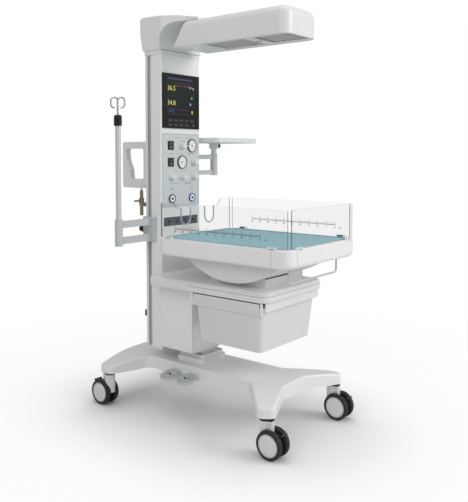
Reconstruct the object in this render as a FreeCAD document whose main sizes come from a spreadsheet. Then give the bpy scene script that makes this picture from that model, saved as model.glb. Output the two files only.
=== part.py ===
import FreeCAD, Part
import Sketcher
import math
import os
from FreeCAD import Placement, Rotation, Vector

# Infant radiant warmer: a wheeled base, a height-adjustable column with an overhead
# heater head, and a tilting bed with clear fold-down side panels.
# X runs across the warmer, the near side is -X; Y runs from the foot (-Y) to the
# column (+Y); Z is up and the floor is z = 0. All lengths are millimetres.
# Each piece is drawn about the warmer's own middle plane, x = 0, and its Placement
# moves it so that the origin is the middle of the footprint on the floor.

doc = FreeCAD.newDocument("radiant_warmer")
sheet = doc.addObject("Spreadsheet::Sheet", "Sizes")

SIZES = {
    # where the origin lies, seen from the middle plane
    "middle_across": (71.7, "middle of the width, from the mid-plane"),
    "middle_along": (-124.75, "middle of the depth"),
    "running_fit": (0.08, "radial play of a shaft in its hole"),
    "seat_gap": (0.3, "play between pieces that move or lift apart"),
    # base and casters
    "front_caster_x": (273.0, "front stems, half their spacing"),
    "front_caster_y": (-593.0, "front stems"),
    "rear_caster_x": (292.0, "rear stems, half their spacing"),
    "rear_caster_y": (366.0, "rear stems"),
    "base_top": (240.0, "top of the base body"),
    "base_floor": (176.0, "underside of the base body"),
    "leg_top": (206.0, "top of a leg at its tip"),
    "leg_floor": (170.0, "underside of a leg at its tip"),
    "base_half_width": (132.0, "half width of the base body"),
    "base_front": (-560.0, "front end of the base body"),
    "base_rear": (432.0, "rear end of the base body"),
    "leg_tip_radius": (38.0, "round end of a leg"),
    "base_edge_round": (9.0, "rounding of the base's upper edge"),
    "wheel_radius": (62.5, "125 mm wheels"),
    "wheel_width": (24.0, "one of a pair"),
    "wheel_spread": (27.0, "stem axis to a wheel's middle"),
    "tyre_depth": (11.0, "tread thickness"),
    "caster_trail": (38.0, "stem axis to axle"),
    "axle_radius": (6.0, "wheel axle"),
    "stem_radius": (10.0, "swivel pin"),
    "stem_length": (28.0, "swivel pin inside the leg"),
    "ring_radius": (27.0, "black ring under the leg"),
    "ring_height": (9.0, "black ring under the leg"),
    "frame_half": (12.0, "half the thickness of the caster's middle plate"),
    # base plan and pedals
    "front_leg_root": (155.0, "front end to the crotch of a front leg"),
    "rear_leg_root": (186.0, "rear end to the crotch of a rear leg"),
    "front_shoulder": (40.0, "front end, narrower than the body by this each side"),
    "rear_shoulder": (18.0, "rear end, wider than the body by this each side"),
    "crotch_radius": (60.0, "inside corner between body and leg"),
    "wall_foot": (10.0, "underside's flat, in from the side wall"),
    "pedal_y_up": (47.0, "middle of the raise pedal"),
    "pedal_y_down": (-62.0, "middle of the lower pedal"),
    "pedal_wide": (92.0, "pedal along Y"),
    "pedal_long": (96.0, "pedal from its pivot to its nose"),
    "pedal_thick": (13.0, "pedal plate"),
    "pedal_pivot_x": (141.0, "pedal pivot, from the mid-plane"),
    "pedal_pivot_z": (197.0, "pedal pivot height"),
    "pedal_barrel": (7.5, "radius of the pedal's hinge barrel"),
    "pedal_pin": (4.0, "radius of the pedal's hinge pin"),
    "pedal_lug": (16.0, "lug inset from a pedal's side"),
    "neck_radius": (26.0, "caster neck"),
    "neck_play": (1.5, "between the caster neck and the treads"),
    "frame_radius": (36.0, "caster's middle plate"),
    "lever_thick": (10.0, "brake lever's curved part"),
    "lever_sweep": (48.0, "degrees that the lever covers"),
    "lever_out": (14.0, "lever beyond the tread"),
    "lever_rest": (38.0, "degrees, lever above level"),
    "lever_wide": (21.0, "lever's foot plate, half"),
    "pedal_slope": (10.0, "degrees, pedal nose down"),
    # lift
    "lift_middle": (5.0, "y of the telescopic lift's axis"),
    "lift_outer": (120.0, "square outer tube"),
    "lift_wall": (4.0, "tube wall"),
    "lift_outer_top": (596.0, "top of the outer tube"),
    "skirt_wide": (176.0, "skirt across"),
    "skirt_deep": (172.0, "skirt along"),
    "skirt_sink": (4.0, "skirt let into the crowned base"),
    "skirt_step": (22.0, "height of one step of the skirt"),
    "lift_inner_foot": (262.0, "bottom of the inner tube when lowered"),
    # housing, shelf and column
    "housing_half": (144.0, "lift housing and column, half width"),
    "housing_front": (-68.0, "front of the lift housing"),
    "housing_floor": (304.0, "lower edge of the lift housing"),
    "housing_wall": (3.0, "plastic wall"),
    "shelf_half": (235.0, "shelf slab across"),
    "shelf_front": (-563.0, "front edge of the shelf slab"),
    "shelf_floor": (628.0, "underside of the shelf slab"),
    "shelf_top": (675.0, "top of the shelf slab"),
    "shelf_corner": (42.0, "front corners of the shelf slab"),
    "column_front": (143.0, "front face of the column"),
    "column_rear": (255.0, "rear face of the column"),
    "column_floor": (296.0, "lower end of the column"),
    "column_top": (1757.0, "upper end of the extrusion"),
    "column_wall": (5.0, "extrusion wall"),
    "groove_front": (211.0, "side groove, front lip"),
    "groove_wide": (23.0, "side groove"),
    "groove_deep": (9.0, "side groove"),
    "foot_height": (17.0, "rounded cover under the column"),
    "collar_top": (1779.0, "top of the white collar"),
    "collar_proud": (2.0, "collar beyond the column"),
    "spigot_radius": (40.0, "bearing of the swivelling head"),
    "spigot_length": (16.0, "bearing inside the collar"),
    # front of the column
    "display_half": (134.0, "display bezel across"),
    "display_floor": (1396.0, "lower edge of the display"),
    "display_top": (1669.0, "upper edge of the display"),
    "display_thick": (8.0, "bezel stands out"),
    "screen_half": (108.0, "glass across"),
    "screen_floor": (1462.0, "glass, lower edge"),
    "screen_top": (1652.0, "glass, upper edge"),
    "screen_deep": (2.5, "glass let into the bezel"),
    "plate_floor": (1000.0, "control plate, lower edge"),
    "plate_top": (1372.0, "control plate, upper edge"),
    "plate_thick": (4.0, "control plate"),
    "knob_length": (23.0, "knob stands out"),
    "knob_large": (17.0, "radius of the two large knobs"),
    "knob_small": (15.0, "radius of the flow knobs"),
    "shaft_radius": (4.0, "knob shaft"),
    "switch_half": (17.0, "rocker switch across, half"),
    "switch_tall": (18.0, "rocker switch up, half"),
    "switch_play": (1.0, "window around a rocker"),
    "gauge_large": (34.0, "radius of the two large gauges"),
    "gauge_small": (22.0, "radius of the outlet gauges"),
    "gauge_thick": (6.0, "gauge stands out"),
    "strip_half": (126.0, "connector strip across, half"),
    "strip_floor": (904.0, "connector strip, lower edge"),
    "strip_top": (949.0, "connector strip, upper edge"),
    "socket_radius": (9.0, "probe socket"),
    "socket_pitch": (60.0, "between probe sockets"),
    # rear of the column
    "handle_reach": (200.0, "rear handle behind the column"),
    "handle_floor": (1092.0, "rear handle, lower edge"),
    "handle_top": (1330.0, "rear handle, upper edge"),
    "handle_bar": (35.0, "height of the upper handle arm"),
    "handle_low_bar": (46.0, "height of the lower handle arm"),
    "handle_root": (45.0, "handle post on the column"),
    "handle_side": (98.0, "handle side frame from the mid-plane"),
    "handle_wide": (30.0, "side frame across"),
    "grip_radius": (15.0, "grip tube"),
    "gas_x": (-132.0, "gas inlet across"),
    "gas_z": (1029.0, "gas inlet branch height"),
    "gas_out": (40.0, "gas inlet behind the column"),
    "gas_low": (75.0, "gas inlet below its branch"),
    "gas_high": (63.0, "gas inlet above its branch"),
    "gas_radius": (9.0, "gas inlet body"),
    "barb_radius": (4.5, "hose barb"),
    "barb_length": (34.0, "hose barb"),
    # drip pole
    "pole_x": (-366.0, "drip pole across"),
    "pole_y": (206.0, "drip pole and tray brackets along"),
    "pole_radius": (13.0, "drip pole"),
    "pole_foot": (834.0, "lower end of the pole"),
    "pole_top": (1400.0, "upper end of the pole tube"),
    "socket_tube_radius": (19.0, "socket of the pole"),
    "socket_floor": (826.0, "socket of the pole, lower end"),
    "socket_top": (954.0, "socket of the pole, upper end"),
    "clamp_floor": (828.0, "clamp block, lower edge"),
    "clamp_top": (952.0, "clamp block, upper edge"),
    "clamp_behind": (3.0, "clamp block behind the column's rear face"),
    "clamp_thick": (16.0, "clamp block out of the column's side"),
    "bar_tall": (34.0, "bracket bar, height"),
    "bar_thick": (10.0, "bracket bar, along Y"),
    "cap_radius": (19.0, "black cap on the pole"),
    "cap_height": (52.0, "black cap on the pole"),
    "rod_radius": (5.0, "hook rod"),
    "rod_foot": (1060.0, "lower end of the hook rod in the pole"),
    "hook_rise": (66.0, "centre of the hooks' bends above the cap"),
    "hook_curl": (16.0, "radius of a hook's bend"),
    "hook_drop": (17.0, "straight part of a hook"),
    "hook_rod": (4.0, "radius of a hook's rod"),
    "hook_turn": (45.0, "degrees, the hooks' plane from across"),
    # tray
    "tray_x": (334.0, "tray stem across"),
    "tray_tube_radius": (19.5, "tray bracket's end tube"),
    "tray_tube_floor": (1151.0, "end tube, lower end"),
    "tray_tube_top": (1268.0, "end tube, upper end"),
    "tray_stem_radius": (15.0, "tray stem"),
    "tray_hub": (30.0, "hub under the tray"),
    "tray_floor": (1328.0, "underside of the tray"),
    "tray_top": (1353.0, "rim of the tray"),
    "tray_inner": (-158.0, "tray's edge towards the column, from the stem"),
    "tray_outer": (202.0, "tray's outer edge, from the stem"),
    "tray_front": (-162.0, "tray's front edge, from the stem"),
    "tray_rear": (128.0, "tray's rear edge, from the stem"),
    "tray_corner": (45.0, "tray corners"),
    "tray_wall": (3.0, "tray rim and floor"),
    # drawer
    "tub_half": (216.0, "drawer across, half"),
    "tub_front": (-528.0, "drawer's foot side"),
    "tub_rear": (-140.0, "drawer's head side"),
    "tub_floor": (401.0, "drawer's underside"),
    "tub_top": (604.0, "drawer's rim"),
    "tub_draft": (18.0, "drawer narrower at the bottom, each side"),
    "tub_wall": (3.0, "drawer wall"),
    "flange": (12.0, "drawer's flange over its runner"),
    "rail_thick": (7.0, "runner web"),
    "rail_inset": (8.0, "runner's near end, behind the drawer's lip"),
    "rail_floor": (588.0, "runner, lower edge"),
    # control plate, across and up
    "row_one": (1310.0, "centre height of the first row"),
    "row_two": (1226.0, "centre height of the second row"),
    "row_three": (1150.0, "centre height of the flow knobs"),
    "row_four": (1042.0, "centre height of the outlets"),
    "switch_x": (-78.0, "rocker switches"),
    "knob_one_x": (8.0, "first large knob"),
    "knob_two_x": (95.0, "second large knob"),
    "gauge_one_x": (77.0, "first large gauge"),
    "gauge_two_x": (3.0, "second large gauge"),
    "flow_left_x": (-69.0, "flow knob"),
    "flow_middle_x": (11.0, "flow knob"),
    "flow_right_x": (95.0, "flow knob"),
    "outlet_left_x": (-71.0, "outlet"),
    "outlet_right_x": (77.0, "outlet"),
    # bed
    "bed_half": (290.0, "bed tray across, half"),
    "bed_foot": (-714.0, "bed tray, foot end"),
    "bed_head": (40.0, "bed tray, head end"),
    "bed_floor": (793.0, "bed tray, lower edge"),
    "bed_top": (874.0, "bed tray, rim"),
    "bed_rim": (32.0, "width of the rim"),
    "mattress_floor": (832.0, "mattress rests here"),
    "mattress_top": (878.0, "mattress surface"),
    "tilt_y": (-345.0, "tilt pivot, virtual, along"),
    "tilt_z": (1122.0, "tilt pivot, virtual, height"),
    "tilt_radius": (430.0, "radius of the rocker"),
    "rocker_wall": (4.0, "wall of the rocker"),
    "rocker_half": (200.0, "rocker across, half"),
    "cradle_half": (150.0, "cradle across, half"),
    "cradle_reach": (158.0, "cradle along, half"),
    "cradle_top": (722.0, "cradle's horns"),
    "rail_in": (59.0, "wire rail from the foot end"),
    "rail_low": (722.0, "wire rail, lower bar"),
    "rail_rod": (4.5, "wire rail rod"),
    "rail_half": (195.0, "wire rail across, half"),
    "rail_bend": (16.0, "wire rail bends"),
    "hinge_z": (880.0, "panel hinge height"),
    "hinge_out": (5.0, "panel hinge in from the rim's side"),
    "hinge_pin": (2.5, "panel hinge pin"),
    "hinge_inset": (84.0, "hinges from the ends of a side"),
    "lug_half": (4.0, "hinge lug, half its width"),
    "lug_rise": (3.5, "hinge lug above the pin's axis"),
    "lug_gap": (20.0, "half the distance of a hinge's lugs"),
    "panel_thick": (6.0, "acrylic sheet"),
    "panel_in": (21.0, "side panel's face in from the rim's side"),
    "panel_floor": (878.0, "lower edge of a panel"),
    "panel_top": (1037.0, "upper edge of a panel"),
    "panel_corner": (6.0, "upper corners of a panel"),
    "panel_foot_in": (18.0, "side panel's foot end, in from the tray's"),
    "panel_head_in": (20.0, "side panel's head end, in from the tray's"),
    "foot_panel_half": (242.0, "foot panel across, half"),
    "head_panel_half": (254.0, "head panel across, half"),
    "head_panel_in": (8.0, "head panel in from the tray's end"),
    "head_panel_low": (1003.0, "head panel's low middle"),
    "head_panel_ramp": (178.0, "where the head panel's raised ends begin"),
    "notch_radius": (34.0, "tube notch"),
    "notch_x": (88.0, "tube notches from the mid-plane"),
    "notch_floor": (920.0, "bottom of a tube notch"),
    # head
    "neck_top": (1942.0, "top of the neck cover"),
    "neck_front": (-66.0, "neck's front end over the hood"),
    "neck_sweep": (96.0, "hollow under the neck's front"),
    "hood_half": (126.0, "hood across, half"),
    "hood_front": (-590.0, "hood's front"),
    "hood_rear": (71.0, "hood's rear"),
    "hood_slant": (76.0, "hood's top ends this far before its lower edge"),
    "hood_floor": (1784.0, "hood's lower edge"),
    "hood_top": (1908.0, "hood's top"),
    "hood_corner": (48.0, "hood's front corners"),
    "hood_edge": (38.0, "rounding along the hood's top"),
    "neck_half": (150.0, "neck across at its foot, half"),
    "neck_flare": (10.0, "neck wider at its top, each side"),
    "neck_back": (30.0, "neck behind the column at its top"),
    "neck_slim": (24.0, "neck's front end, inside the hood's side"),
    "hood_wall": (3.0, "hood wall"),
    "mouth_half": (86.0, "heater opening across, half"),
    "mouth_front": (-568.0, "front opening's front"),
    "mouth_rear": (-92.0, "rear opening's rear"),
    "lamp_y": (-352.0, "examination lamp"),
    "lamp_bay": (26.0, "panel of the lamp, half"),
    "lamp_radius": (15.0, "examination lamp"),
    "fin_pitch": (24.0, "grille fins"),
    "element_radius": (7.0, "heating element"),
}


class Dim:
    """A length with its value and the spreadsheet formula that gives it."""

    def __init__(self, value, text):
        self.value = float(value)
        self.text = text

    def __add__(self, other):
        other = dim(other)
        return Dim(self.value + other.value, "(%s + %s)" % (self.text, other.text))

    def __radd__(self, other):
        return dim(other) + self

    def __sub__(self, other):
        other = dim(other)
        return Dim(self.value - other.value, "(%s - %s)" % (self.text, other.text))

    def __rsub__(self, other):
        return dim(other) - self

    def __mul__(self, other):
        other = dim(other)
        return Dim(self.value * other.value, "(%s * %s)" % (self.text, other.text))

    def __rmul__(self, other):
        return dim(other) * self

    def __truediv__(self, other):
        other = dim(other)
        return Dim(self.value / other.value, "(%s / %s)" % (self.text, other.text))

    def __neg__(self):
        return Dim(-self.value, "(0 - %s)" % self.text)

    def __float__(self):
        return self.value


def dim(amount):
    if isinstance(amount, Dim):
        return amount
    return Dim(amount, "%.6f" % amount)


class Sheet:
    """Reads a driving size by its name: mm.base_top."""

    def __getattr__(self, alias):
        return Dim(SIZES[alias][0], "Sizes." + alias)


mm = Sheet()
for row, (alias, (value, note)) in enumerate(SIZES.items(), start=1):
    sheet.set("A%d" % row, alias)
    sheet.set("B%d" % row, repr(value))
    sheet.setAlias("B%d" % row, alias)
    sheet.set("C%d" % row, note)
doc.recompute()

UP = Rotation()
ALONG_X = Rotation(Vector(0, 1, 0), 90)
ALONG_Y = Rotation(Vector(1, 0, 0), -90)
ON_EDGE = Rotation(Vector(1, 0, 0), 90)
TURNS = {"z": UP, "x": ALONG_X, "y": ALONG_Y}
nodes = []
made = [0]


def fresh(kind, hint):
    made[0] += 1
    return doc.addObject(kind, "%s_%d" % (hint, made[0]))


def bind(item, prop, amount):
    amount = dim(amount)
    item.setExpression(prop, amount.text)


def place(item, x, y, z, turn=UP):
    x, y, z = dim(x), dim(y), dim(z)
    item.Placement = Placement(Vector(x.value, y.value, z.value), turn)
    for axis, amount in zip("xyz", (x, y, z)):
        item.setExpression("Placement.Base." + axis, amount.text)


def block(x0, x1, y0, y1, z0, z1):
    item = fresh("Part::Box", "block")
    x0, x1, y0, y1, z0, z1 = [dim(v) for v in (x0, x1, y0, y1, z0, z1)]
    for prop, low, high in (("Length", x0, x1), ("Width", y0, y1), ("Height", z0, z1)):
        setattr(item, prop, high.value - low.value)
        bind(item, prop, high - low)
    place(item, x0, y0, z0)
    return item


def rod(radius, length, x, y, z, along="z"):
    """A cylinder whose first end is at x, y, z."""
    item = fresh("Part::Cylinder", "rod")
    item.Radius = dim(radius).value
    item.Height = dim(length).value
    bind(item, "Radius", radius)
    bind(item, "Height", length)
    place(item, x, y, z, TURNS[along])
    return item


def taper(radius_0, radius_1, length, x, y, z, along="z"):
    item = fresh("Part::Cone", "taper")
    item.Radius1 = dim(radius_0).value
    item.Radius2 = dim(radius_1).value
    item.Height = dim(length).value
    bind(item, "Radius1", radius_0)
    bind(item, "Radius2", radius_1)
    bind(item, "Height", length)
    place(item, x, y, z, TURNS[along])
    return item


def fuse(*pieces):
    if len(pieces) == 1:
        return pieces[0]
    item = fresh("Part::MultiFuse", "union")
    item.Shapes = list(pieces)
    item.Refine = True
    return item


def cut(base, *tools):
    item = fresh("Part::Cut", "cut")
    item.Base = base
    item.Tool = fuse(*tools)
    item.Refine = True
    return item


def common(*pieces):
    item = fresh("Part::MultiCommon", "shared")
    item.Shapes = list(pieces)
    item.Refine = True
    return item


def group(*pieces):
    item = fresh("Part::Compound", "group")
    item.Links = list(pieces)
    return item


def rounded(base, radius, chosen):
    """Fillets the edges for which chosen(edge) is true."""
    doc.recompute()
    item = fresh("Part::Fillet", "rounded")
    item.Base = base
    r = dim(radius).value
    item.Edges = [(i, r, r) for i, edge in enumerate(base.Shape.Edges, start=1) if chosen(edge)]
    return item


def upright(edge):
    box = edge.BoundBox
    return box.ZLength > 1 and box.XLength < 1e-3 and box.YLength < 1e-3


def lies_at(edge, axis, value, slack=1e-3):
    box = edge.BoundBox
    low, high = {"x": (box.XMin, box.XMax), "y": (box.YMin, box.YMax), "z": (box.ZMin, box.ZMax)}[axis]
    value = dim(value).value
    return abs(low - value) < slack and abs(high - value) < slack


def node(name, item, x=0, y=0, z=0, turn=UP):
    """Names a finished piece and moves it into the shared frame."""
    item.Label = name
    doc.recompute()
    place(item, x - mm.middle_across, y - mm.middle_along, z, turn)
    nodes.append(item)
    return item


def plane_of(body, role):
    for item in body.Origin.OriginFeatures:
        if item.Role == role:
            return item
    raise ValueError(role)


def sketch(body, role, loops, offset=0.0):
    """A sketch of closed loops on an origin plane. A loop is a list of corners,
    or a circle given as ("circle", x, y, radius); every corner is bound to the sheet."""
    item = body.newObject("Sketcher::SketchObject", "outline_%d" % len(doc.Objects))
    item.AttachmentSupport = (plane_of(body, role), [""])
    item.MapMode = "FlatFace"
    offset = dim(offset)
    item.AttachmentOffset = Placement(Vector(0, 0, offset.value), Rotation())
    item.setExpression("AttachmentOffset.Base.z", offset.text)
    bound = []
    for loop in loops:
        if loop[0] == "circle":
            x, y, radius = [dim(v) for v in loop[1:]]
            centre = Vector(x.value, y.value, 0)
            g = item.addGeometry(Part.Circle(centre, Vector(0, 0, 1), radius.value))
            bound.append((item.addConstraint(Sketcher.Constraint("Radius", g, radius.value)), radius))
            bound.append((item.addConstraint(Sketcher.Constraint("DistanceX", -1, 1, g, 3, x.value)), x))
            bound.append((item.addConstraint(Sketcher.Constraint("DistanceY", -1, 1, g, 3, y.value)), y))
            continue
        corners = [(dim(a), dim(b)) for a, b in loop]
        flat = [Vector(a.value, b.value, 0) for a, b in corners]
        first = None
        for i, start in enumerate(flat):
            g = item.addGeometry(Part.LineSegment(start, flat[(i + 1) % len(flat)]))
            first = g if first is None else first
        for i in range(len(flat)):
            after = first + (i + 1) % len(flat)
            item.addConstraint(Sketcher.Constraint("Coincident", first + i, 2, after, 1))
        for i, (a, b) in enumerate(corners):
            g = first + i
            bound.append((item.addConstraint(Sketcher.Constraint("DistanceX", -1, 1, g, 1, a.value)), a))
            bound.append((item.addConstraint(Sketcher.Constraint("DistanceY", -1, 1, g, 1, b.value)), b))
    for index, amount in bound:
        item.setExpression("Constraints[%d]" % index, amount.text)
    return item


def new_body(hint):
    return fresh("PartDesign::Body", hint)


def pad(body, role, loops, length, offset=0.0, both_ways=False, backwards=False):
    item = body.newObject("PartDesign::Pad", "pad_%d" % len(doc.Objects))
    item.Profile = sketch(body, role, loops, offset)
    length = dim(length)
    item.Length = length.value
    item.setExpression("Length", length.text)
    item.Midplane = both_ways
    item.Reversed = backwards
    body.Tip = item
    return item


def pocket(body, role, loops, length, offset=0.0, both_ways=False, backwards=False):
    item = body.newObject("PartDesign::Pocket", "pocket_%d" % len(doc.Objects))
    item.Profile = sketch(body, role, loops, offset)
    length = dim(length)
    item.Length = length.value
    item.setExpression("Length", length.text)
    item.Midplane = both_ways
    item.Reversed = backwards
    body.Tip = item
    return item


def soften(body, radius, chosen, kind="PartDesign::Fillet"):
    """Rounds (or chamfers) the body's edges for which chosen(edge) is true."""
    doc.recompute()
    base = body.Tip
    names = ["Edge%d" % i for i, edge in enumerate(base.Shape.Edges, start=1) if chosen(edge)]
    item = body.newObject(kind, "soft_%d" % len(doc.Objects))
    item.Base = (base, names)
    radius = dim(radius)
    prop = "Radius" if kind.endswith("Fillet") else "Size"
    setattr(item, prop, radius.value)
    item.setExpression(prop, radius.text)
    body.Tip = item
    return item


def rectangle(x0, x1, y0, y1):
    return [(x0, y0), (x1, y0), (x1, y1), (x0, y1)]


def mirrored_outline(right_half):
    """Closes an outline given for x >= 0, from the front to the rear."""
    left_half = [(-x, y) for x, y in reversed(right_half)]
    return list(right_half) + left_half


def caster_places():
    """Name, x, y and the way each caster trails along Y."""
    return [
        ("front_near", -mm.front_caster_x, mm.front_caster_y, -1),
        ("front_far", mm.front_caster_x, mm.front_caster_y, -1),
        ("rear_near", -mm.rear_caster_x, mm.rear_caster_y, 1),
        ("rear_far", mm.rear_caster_x, mm.rear_caster_y, 1),
    ]


def upright_at(edge, corners):
    """True for a vertical edge that stands on one of the given corners, either side."""
    if not upright(edge):
        return False
    point = edge.Vertexes[0].Point
    return any(abs(abs(point.x) - abs(dim(x).value)) < 0.01 and abs(point.y - dim(y).value) < 0.01
               for x, y in corners)


def base_casting():
    """One moulding: a long body with four splayed legs that dip towards their tips."""
    r = mm.leg_tip_radius
    front_tips = [(mm.front_caster_x + r * 0.15, mm.front_caster_y - r * 1.4),
                  (mm.front_caster_x + r * 1.3, mm.front_caster_y + r * 0.2)]
    rear_tips = [(mm.rear_caster_x + r, mm.rear_caster_y - r * 1.15),
                 (mm.rear_caster_x + r, mm.rear_caster_y + r * 0.95)]
    crotches = [(mm.base_half_width, mm.base_front + mm.front_leg_root),
                (mm.base_half_width, mm.base_rear - mm.rear_leg_root)]
    shoulders = [(mm.base_half_width - mm.front_shoulder, mm.base_front),
                 (mm.base_half_width + mm.rear_shoulder, mm.base_rear)]
    right = [shoulders[0], front_tips[0], front_tips[1], crotches[0], crotches[1],
             rear_tips[0], rear_tips[1], shoulders[1]]
    plan = new_body("base_plan")
    pad(plan, "XY_Plane", [mirrored_outline(right)], mm.base_top - mm.leg_floor, mm.leg_floor)
    soften(plan, r * 0.85, lambda e: upright_at(e, front_tips + rear_tips))
    soften(plan, mm.crotch_radius, lambda e: upright_at(e, crotches))
    soften(plan, mm.crotch_radius * 0.5, lambda e: upright_at(e, shoulders))

    reach = mm.rear_caster_x + r
    crown = mm.base_top - mm.leg_top
    crown_radius = (reach * reach + crown * crown) / (crown * 2)
    length = (mm.base_rear - mm.base_front) * 2
    top = rod(crown_radius, length, 0, mm.base_front * 2, mm.base_top - crown_radius, "y")
    floor = new_body("base_floor")
    flat = mm.base_half_width - mm.wall_foot
    section = [(-flat, mm.base_floor), (flat, mm.base_floor),
               (mm.front_caster_x - r * 1.5, mm.leg_floor - 1), (reach * 2, mm.leg_floor - 1),
               (reach * 2, mm.base_top + r), (-reach * 2, mm.base_top + r),
               (-reach * 2, mm.leg_floor - 1), (r * 1.5 - mm.front_caster_x, mm.leg_floor - 1)]
    pad(floor, "XZ_Plane", [section], length, 0, both_ways=True)
    body = common(plan, top, floor)
    top_low = mm.leg_top.value - r.value * 0.5

    def rim(edge):
        return edge.BoundBox.ZMin > top_low

    body = rounded(body, mm.base_edge_round, rim)
    seat = block(mm.skirt_wide / -2, mm.skirt_wide / 2, mm.lift_middle - mm.skirt_deep / 2,
                 mm.lift_middle + mm.skirt_deep / 2, mm.base_top - mm.skirt_sink, mm.base_top + 1)
    bores = [rod(mm.stem_radius + mm.running_fit, mm.stem_length + 1, x, y, mm.leg_floor - 0.5)
             for _, x, y, _ in caster_places()]
    lugs = []
    for y in (mm.pedal_y_up, mm.pedal_y_down):
        for side in (-1, 1):
            at = y + side * (mm.pedal_wide / 2 - mm.pedal_lug)
            lug = block(-mm.pedal_pivot_x - mm.pedal_barrel, -mm.base_half_width + 2, at - 3, at + 3,
                        mm.pedal_pivot_z - mm.pedal_barrel, mm.pedal_pivot_z + mm.pedal_barrel)
            lugs.append(lug)
    holes = [rod(mm.pedal_pin + mm.running_fit, mm.pedal_wide * 3, -mm.pedal_pivot_x,
                 mm.pedal_y_down - mm.pedal_wide, mm.pedal_pivot_z, "y")]
    node("base_casting", cut(fuse(body, *lugs), seat, *(bores + holes)))




def caster(name, x, y, way):
    """Twin-wheel caster drawn about its stem axis and trailing to +Y."""
    turn = Rotation(Vector(0, 0, 1), 0 if way > 0 else 180)
    top = mm.leg_floor - mm.seat_gap
    axle_y, axle_z = mm.caster_trail, mm.wheel_radius
    half = mm.frame_half
    ring = rod(mm.ring_radius, mm.ring_height, 0, 0, top - mm.ring_height)
    pin = rod(mm.stem_radius, mm.stem_length, 0, 0, top)
    neck_top = top - mm.ring_height
    neck = rod(mm.neck_radius, neck_top - axle_z, 0, 0, axle_z)
    for x0, x1 in ((-mm.neck_radius * 2, -half), (half, mm.neck_radius * 2)):
        neck = cut(neck, rod(mm.wheel_radius + mm.neck_play, x1 - x0, x0, axle_y, axle_z, "x"))
    web = block(-half, half, 0, axle_y, axle_z, neck_top)
    disc = rod(mm.frame_radius, half * 2, -half, axle_y, axle_z, "x")
    reach = mm.wheel_spread + mm.wheel_width / 2
    axle = rod(mm.axle_radius, reach * 2, -reach, axle_y, axle_z, "x")
    web_room = rod(mm.frame_radius + mm.lever_thick + mm.seat_gap * 2, half * 2 + 2, -half - 1,
                   axle_y, axle_z, "x")
    web_room = cut(web_room, block(-half - 2, half + 2, -mm.frame_radius, axle_y, 0, neck_top))
    body = common(fuse(neck, web),
                  block(-mm.neck_radius, mm.neck_radius, -mm.neck_radius, axle_y, 0, neck_top))
    node("caster_%s_housing" % name, fuse(ring, pin, cut(body, web_room), disc, axle), x, y, 0, turn)

    wheels = []
    for side in (-1, 1):
        middle = mm.wheel_spread * side
        rim = mm.wheel_radius - mm.tyre_depth
        low = middle - mm.wheel_width / 2
        tyre = rounded(rod(mm.wheel_radius, mm.wheel_width, low, axle_y, axle_z, "x"),
                       mm.wheel_width / 4, lambda e: e.Closed)
        tyre = cut(tyre, rod(rim, mm.wheel_width + 2, low - 1, axle_y, axle_z, "x"))
        hub = cut(rod(rim, mm.wheel_width - 4, low + 2, axle_y, axle_z, "x"),
                  rod(mm.axle_radius + mm.running_fit, mm.wheel_width + 2, low - 1, axle_y, axle_z, "x"))
        wheels += [tyre, hub]
    node("caster_%s_wheels" % name, group(*wheels), x, y, 0, turn)

    thick = mm.lever_thick
    inner = mm.frame_radius + mm.seat_gap
    arc = rod(inner + thick, half * 2 - 2, 1 - half, 0, 0, "x")
    arc.Angle = mm.lever_sweep.value
    arc.setExpression("Angle", mm.lever_sweep.text)
    arc.Placement = Placement(arc.Placement.Base, ALONG_X.multiply(Rotation(Vector(0, 0, 1), 92)))
    arc = cut(arc, rod(inner, half * 2 + 2, -half - 1, 0, 0, "x"))
    tip = mm.wheel_radius + mm.lever_out
    tongue = block(1 - half, half - 1, inner + 1, tip, 1, 8)
    sole = block(-mm.lever_wide, mm.lever_wide, mm.wheel_radius + mm.neck_play, tip, 1, 8)
    node("caster_%s_brake" % name, fuse(arc, tongue, sole), x, y + mm.caster_trail * way, axle_z,
         turn.multiply(Rotation(Vector(1, 0, 0), mm.lever_rest.value)))


def pedal(name, y):
    """D-shaped treadle on a hinge barrel, drawn flat about its pivot."""
    nose = mm.pedal_wide / 2
    thick = mm.pedal_thick
    root = mm.pedal_barrel + 2.5
    straight = mm.pedal_long - nose
    plate = fuse(block(-straight, -root, -nose, nose, -thick / 2, thick / 2),
                 rod(nose, thick, -straight, 0, -thick / 2))
    plate = rounded(plate, thick / 4, lambda e: lies_at(e, "z", thick / 2) or lies_at(e, "z", -thick / 2))
    arm_half = nose - mm.pedal_lug - 3 - mm.seat_gap
    arm = block(-root - 2, 0, -arm_half, arm_half, -thick / 3, thick / 3)
    barrel = rod(mm.pedal_barrel - 0.5, arm_half * 2, 0, -arm_half, 0, "y")
    pin = rod(mm.pedal_pin, (arm_half + 7) * 2, 0, -arm_half - 7, 0, "y")
    node(name, fuse(plate, arm, barrel, pin), -mm.pedal_pivot_x, y, mm.pedal_pivot_z,
         Rotation(Vector(0, 1, 0), -mm.pedal_slope.value))


def square_tube(wide, wall, z0, z1):
    half = wide / 2
    y = mm.lift_middle
    outer = block(-half, half, y - half, y + half, z0, z1)
    outer = rounded(outer, wall * 1.5, upright)
    inner = block(wall - half, half - wall, y - half + wall, y + half - wall, z0 - 1, z1 + 1)
    return cut(outer, inner)


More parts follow.
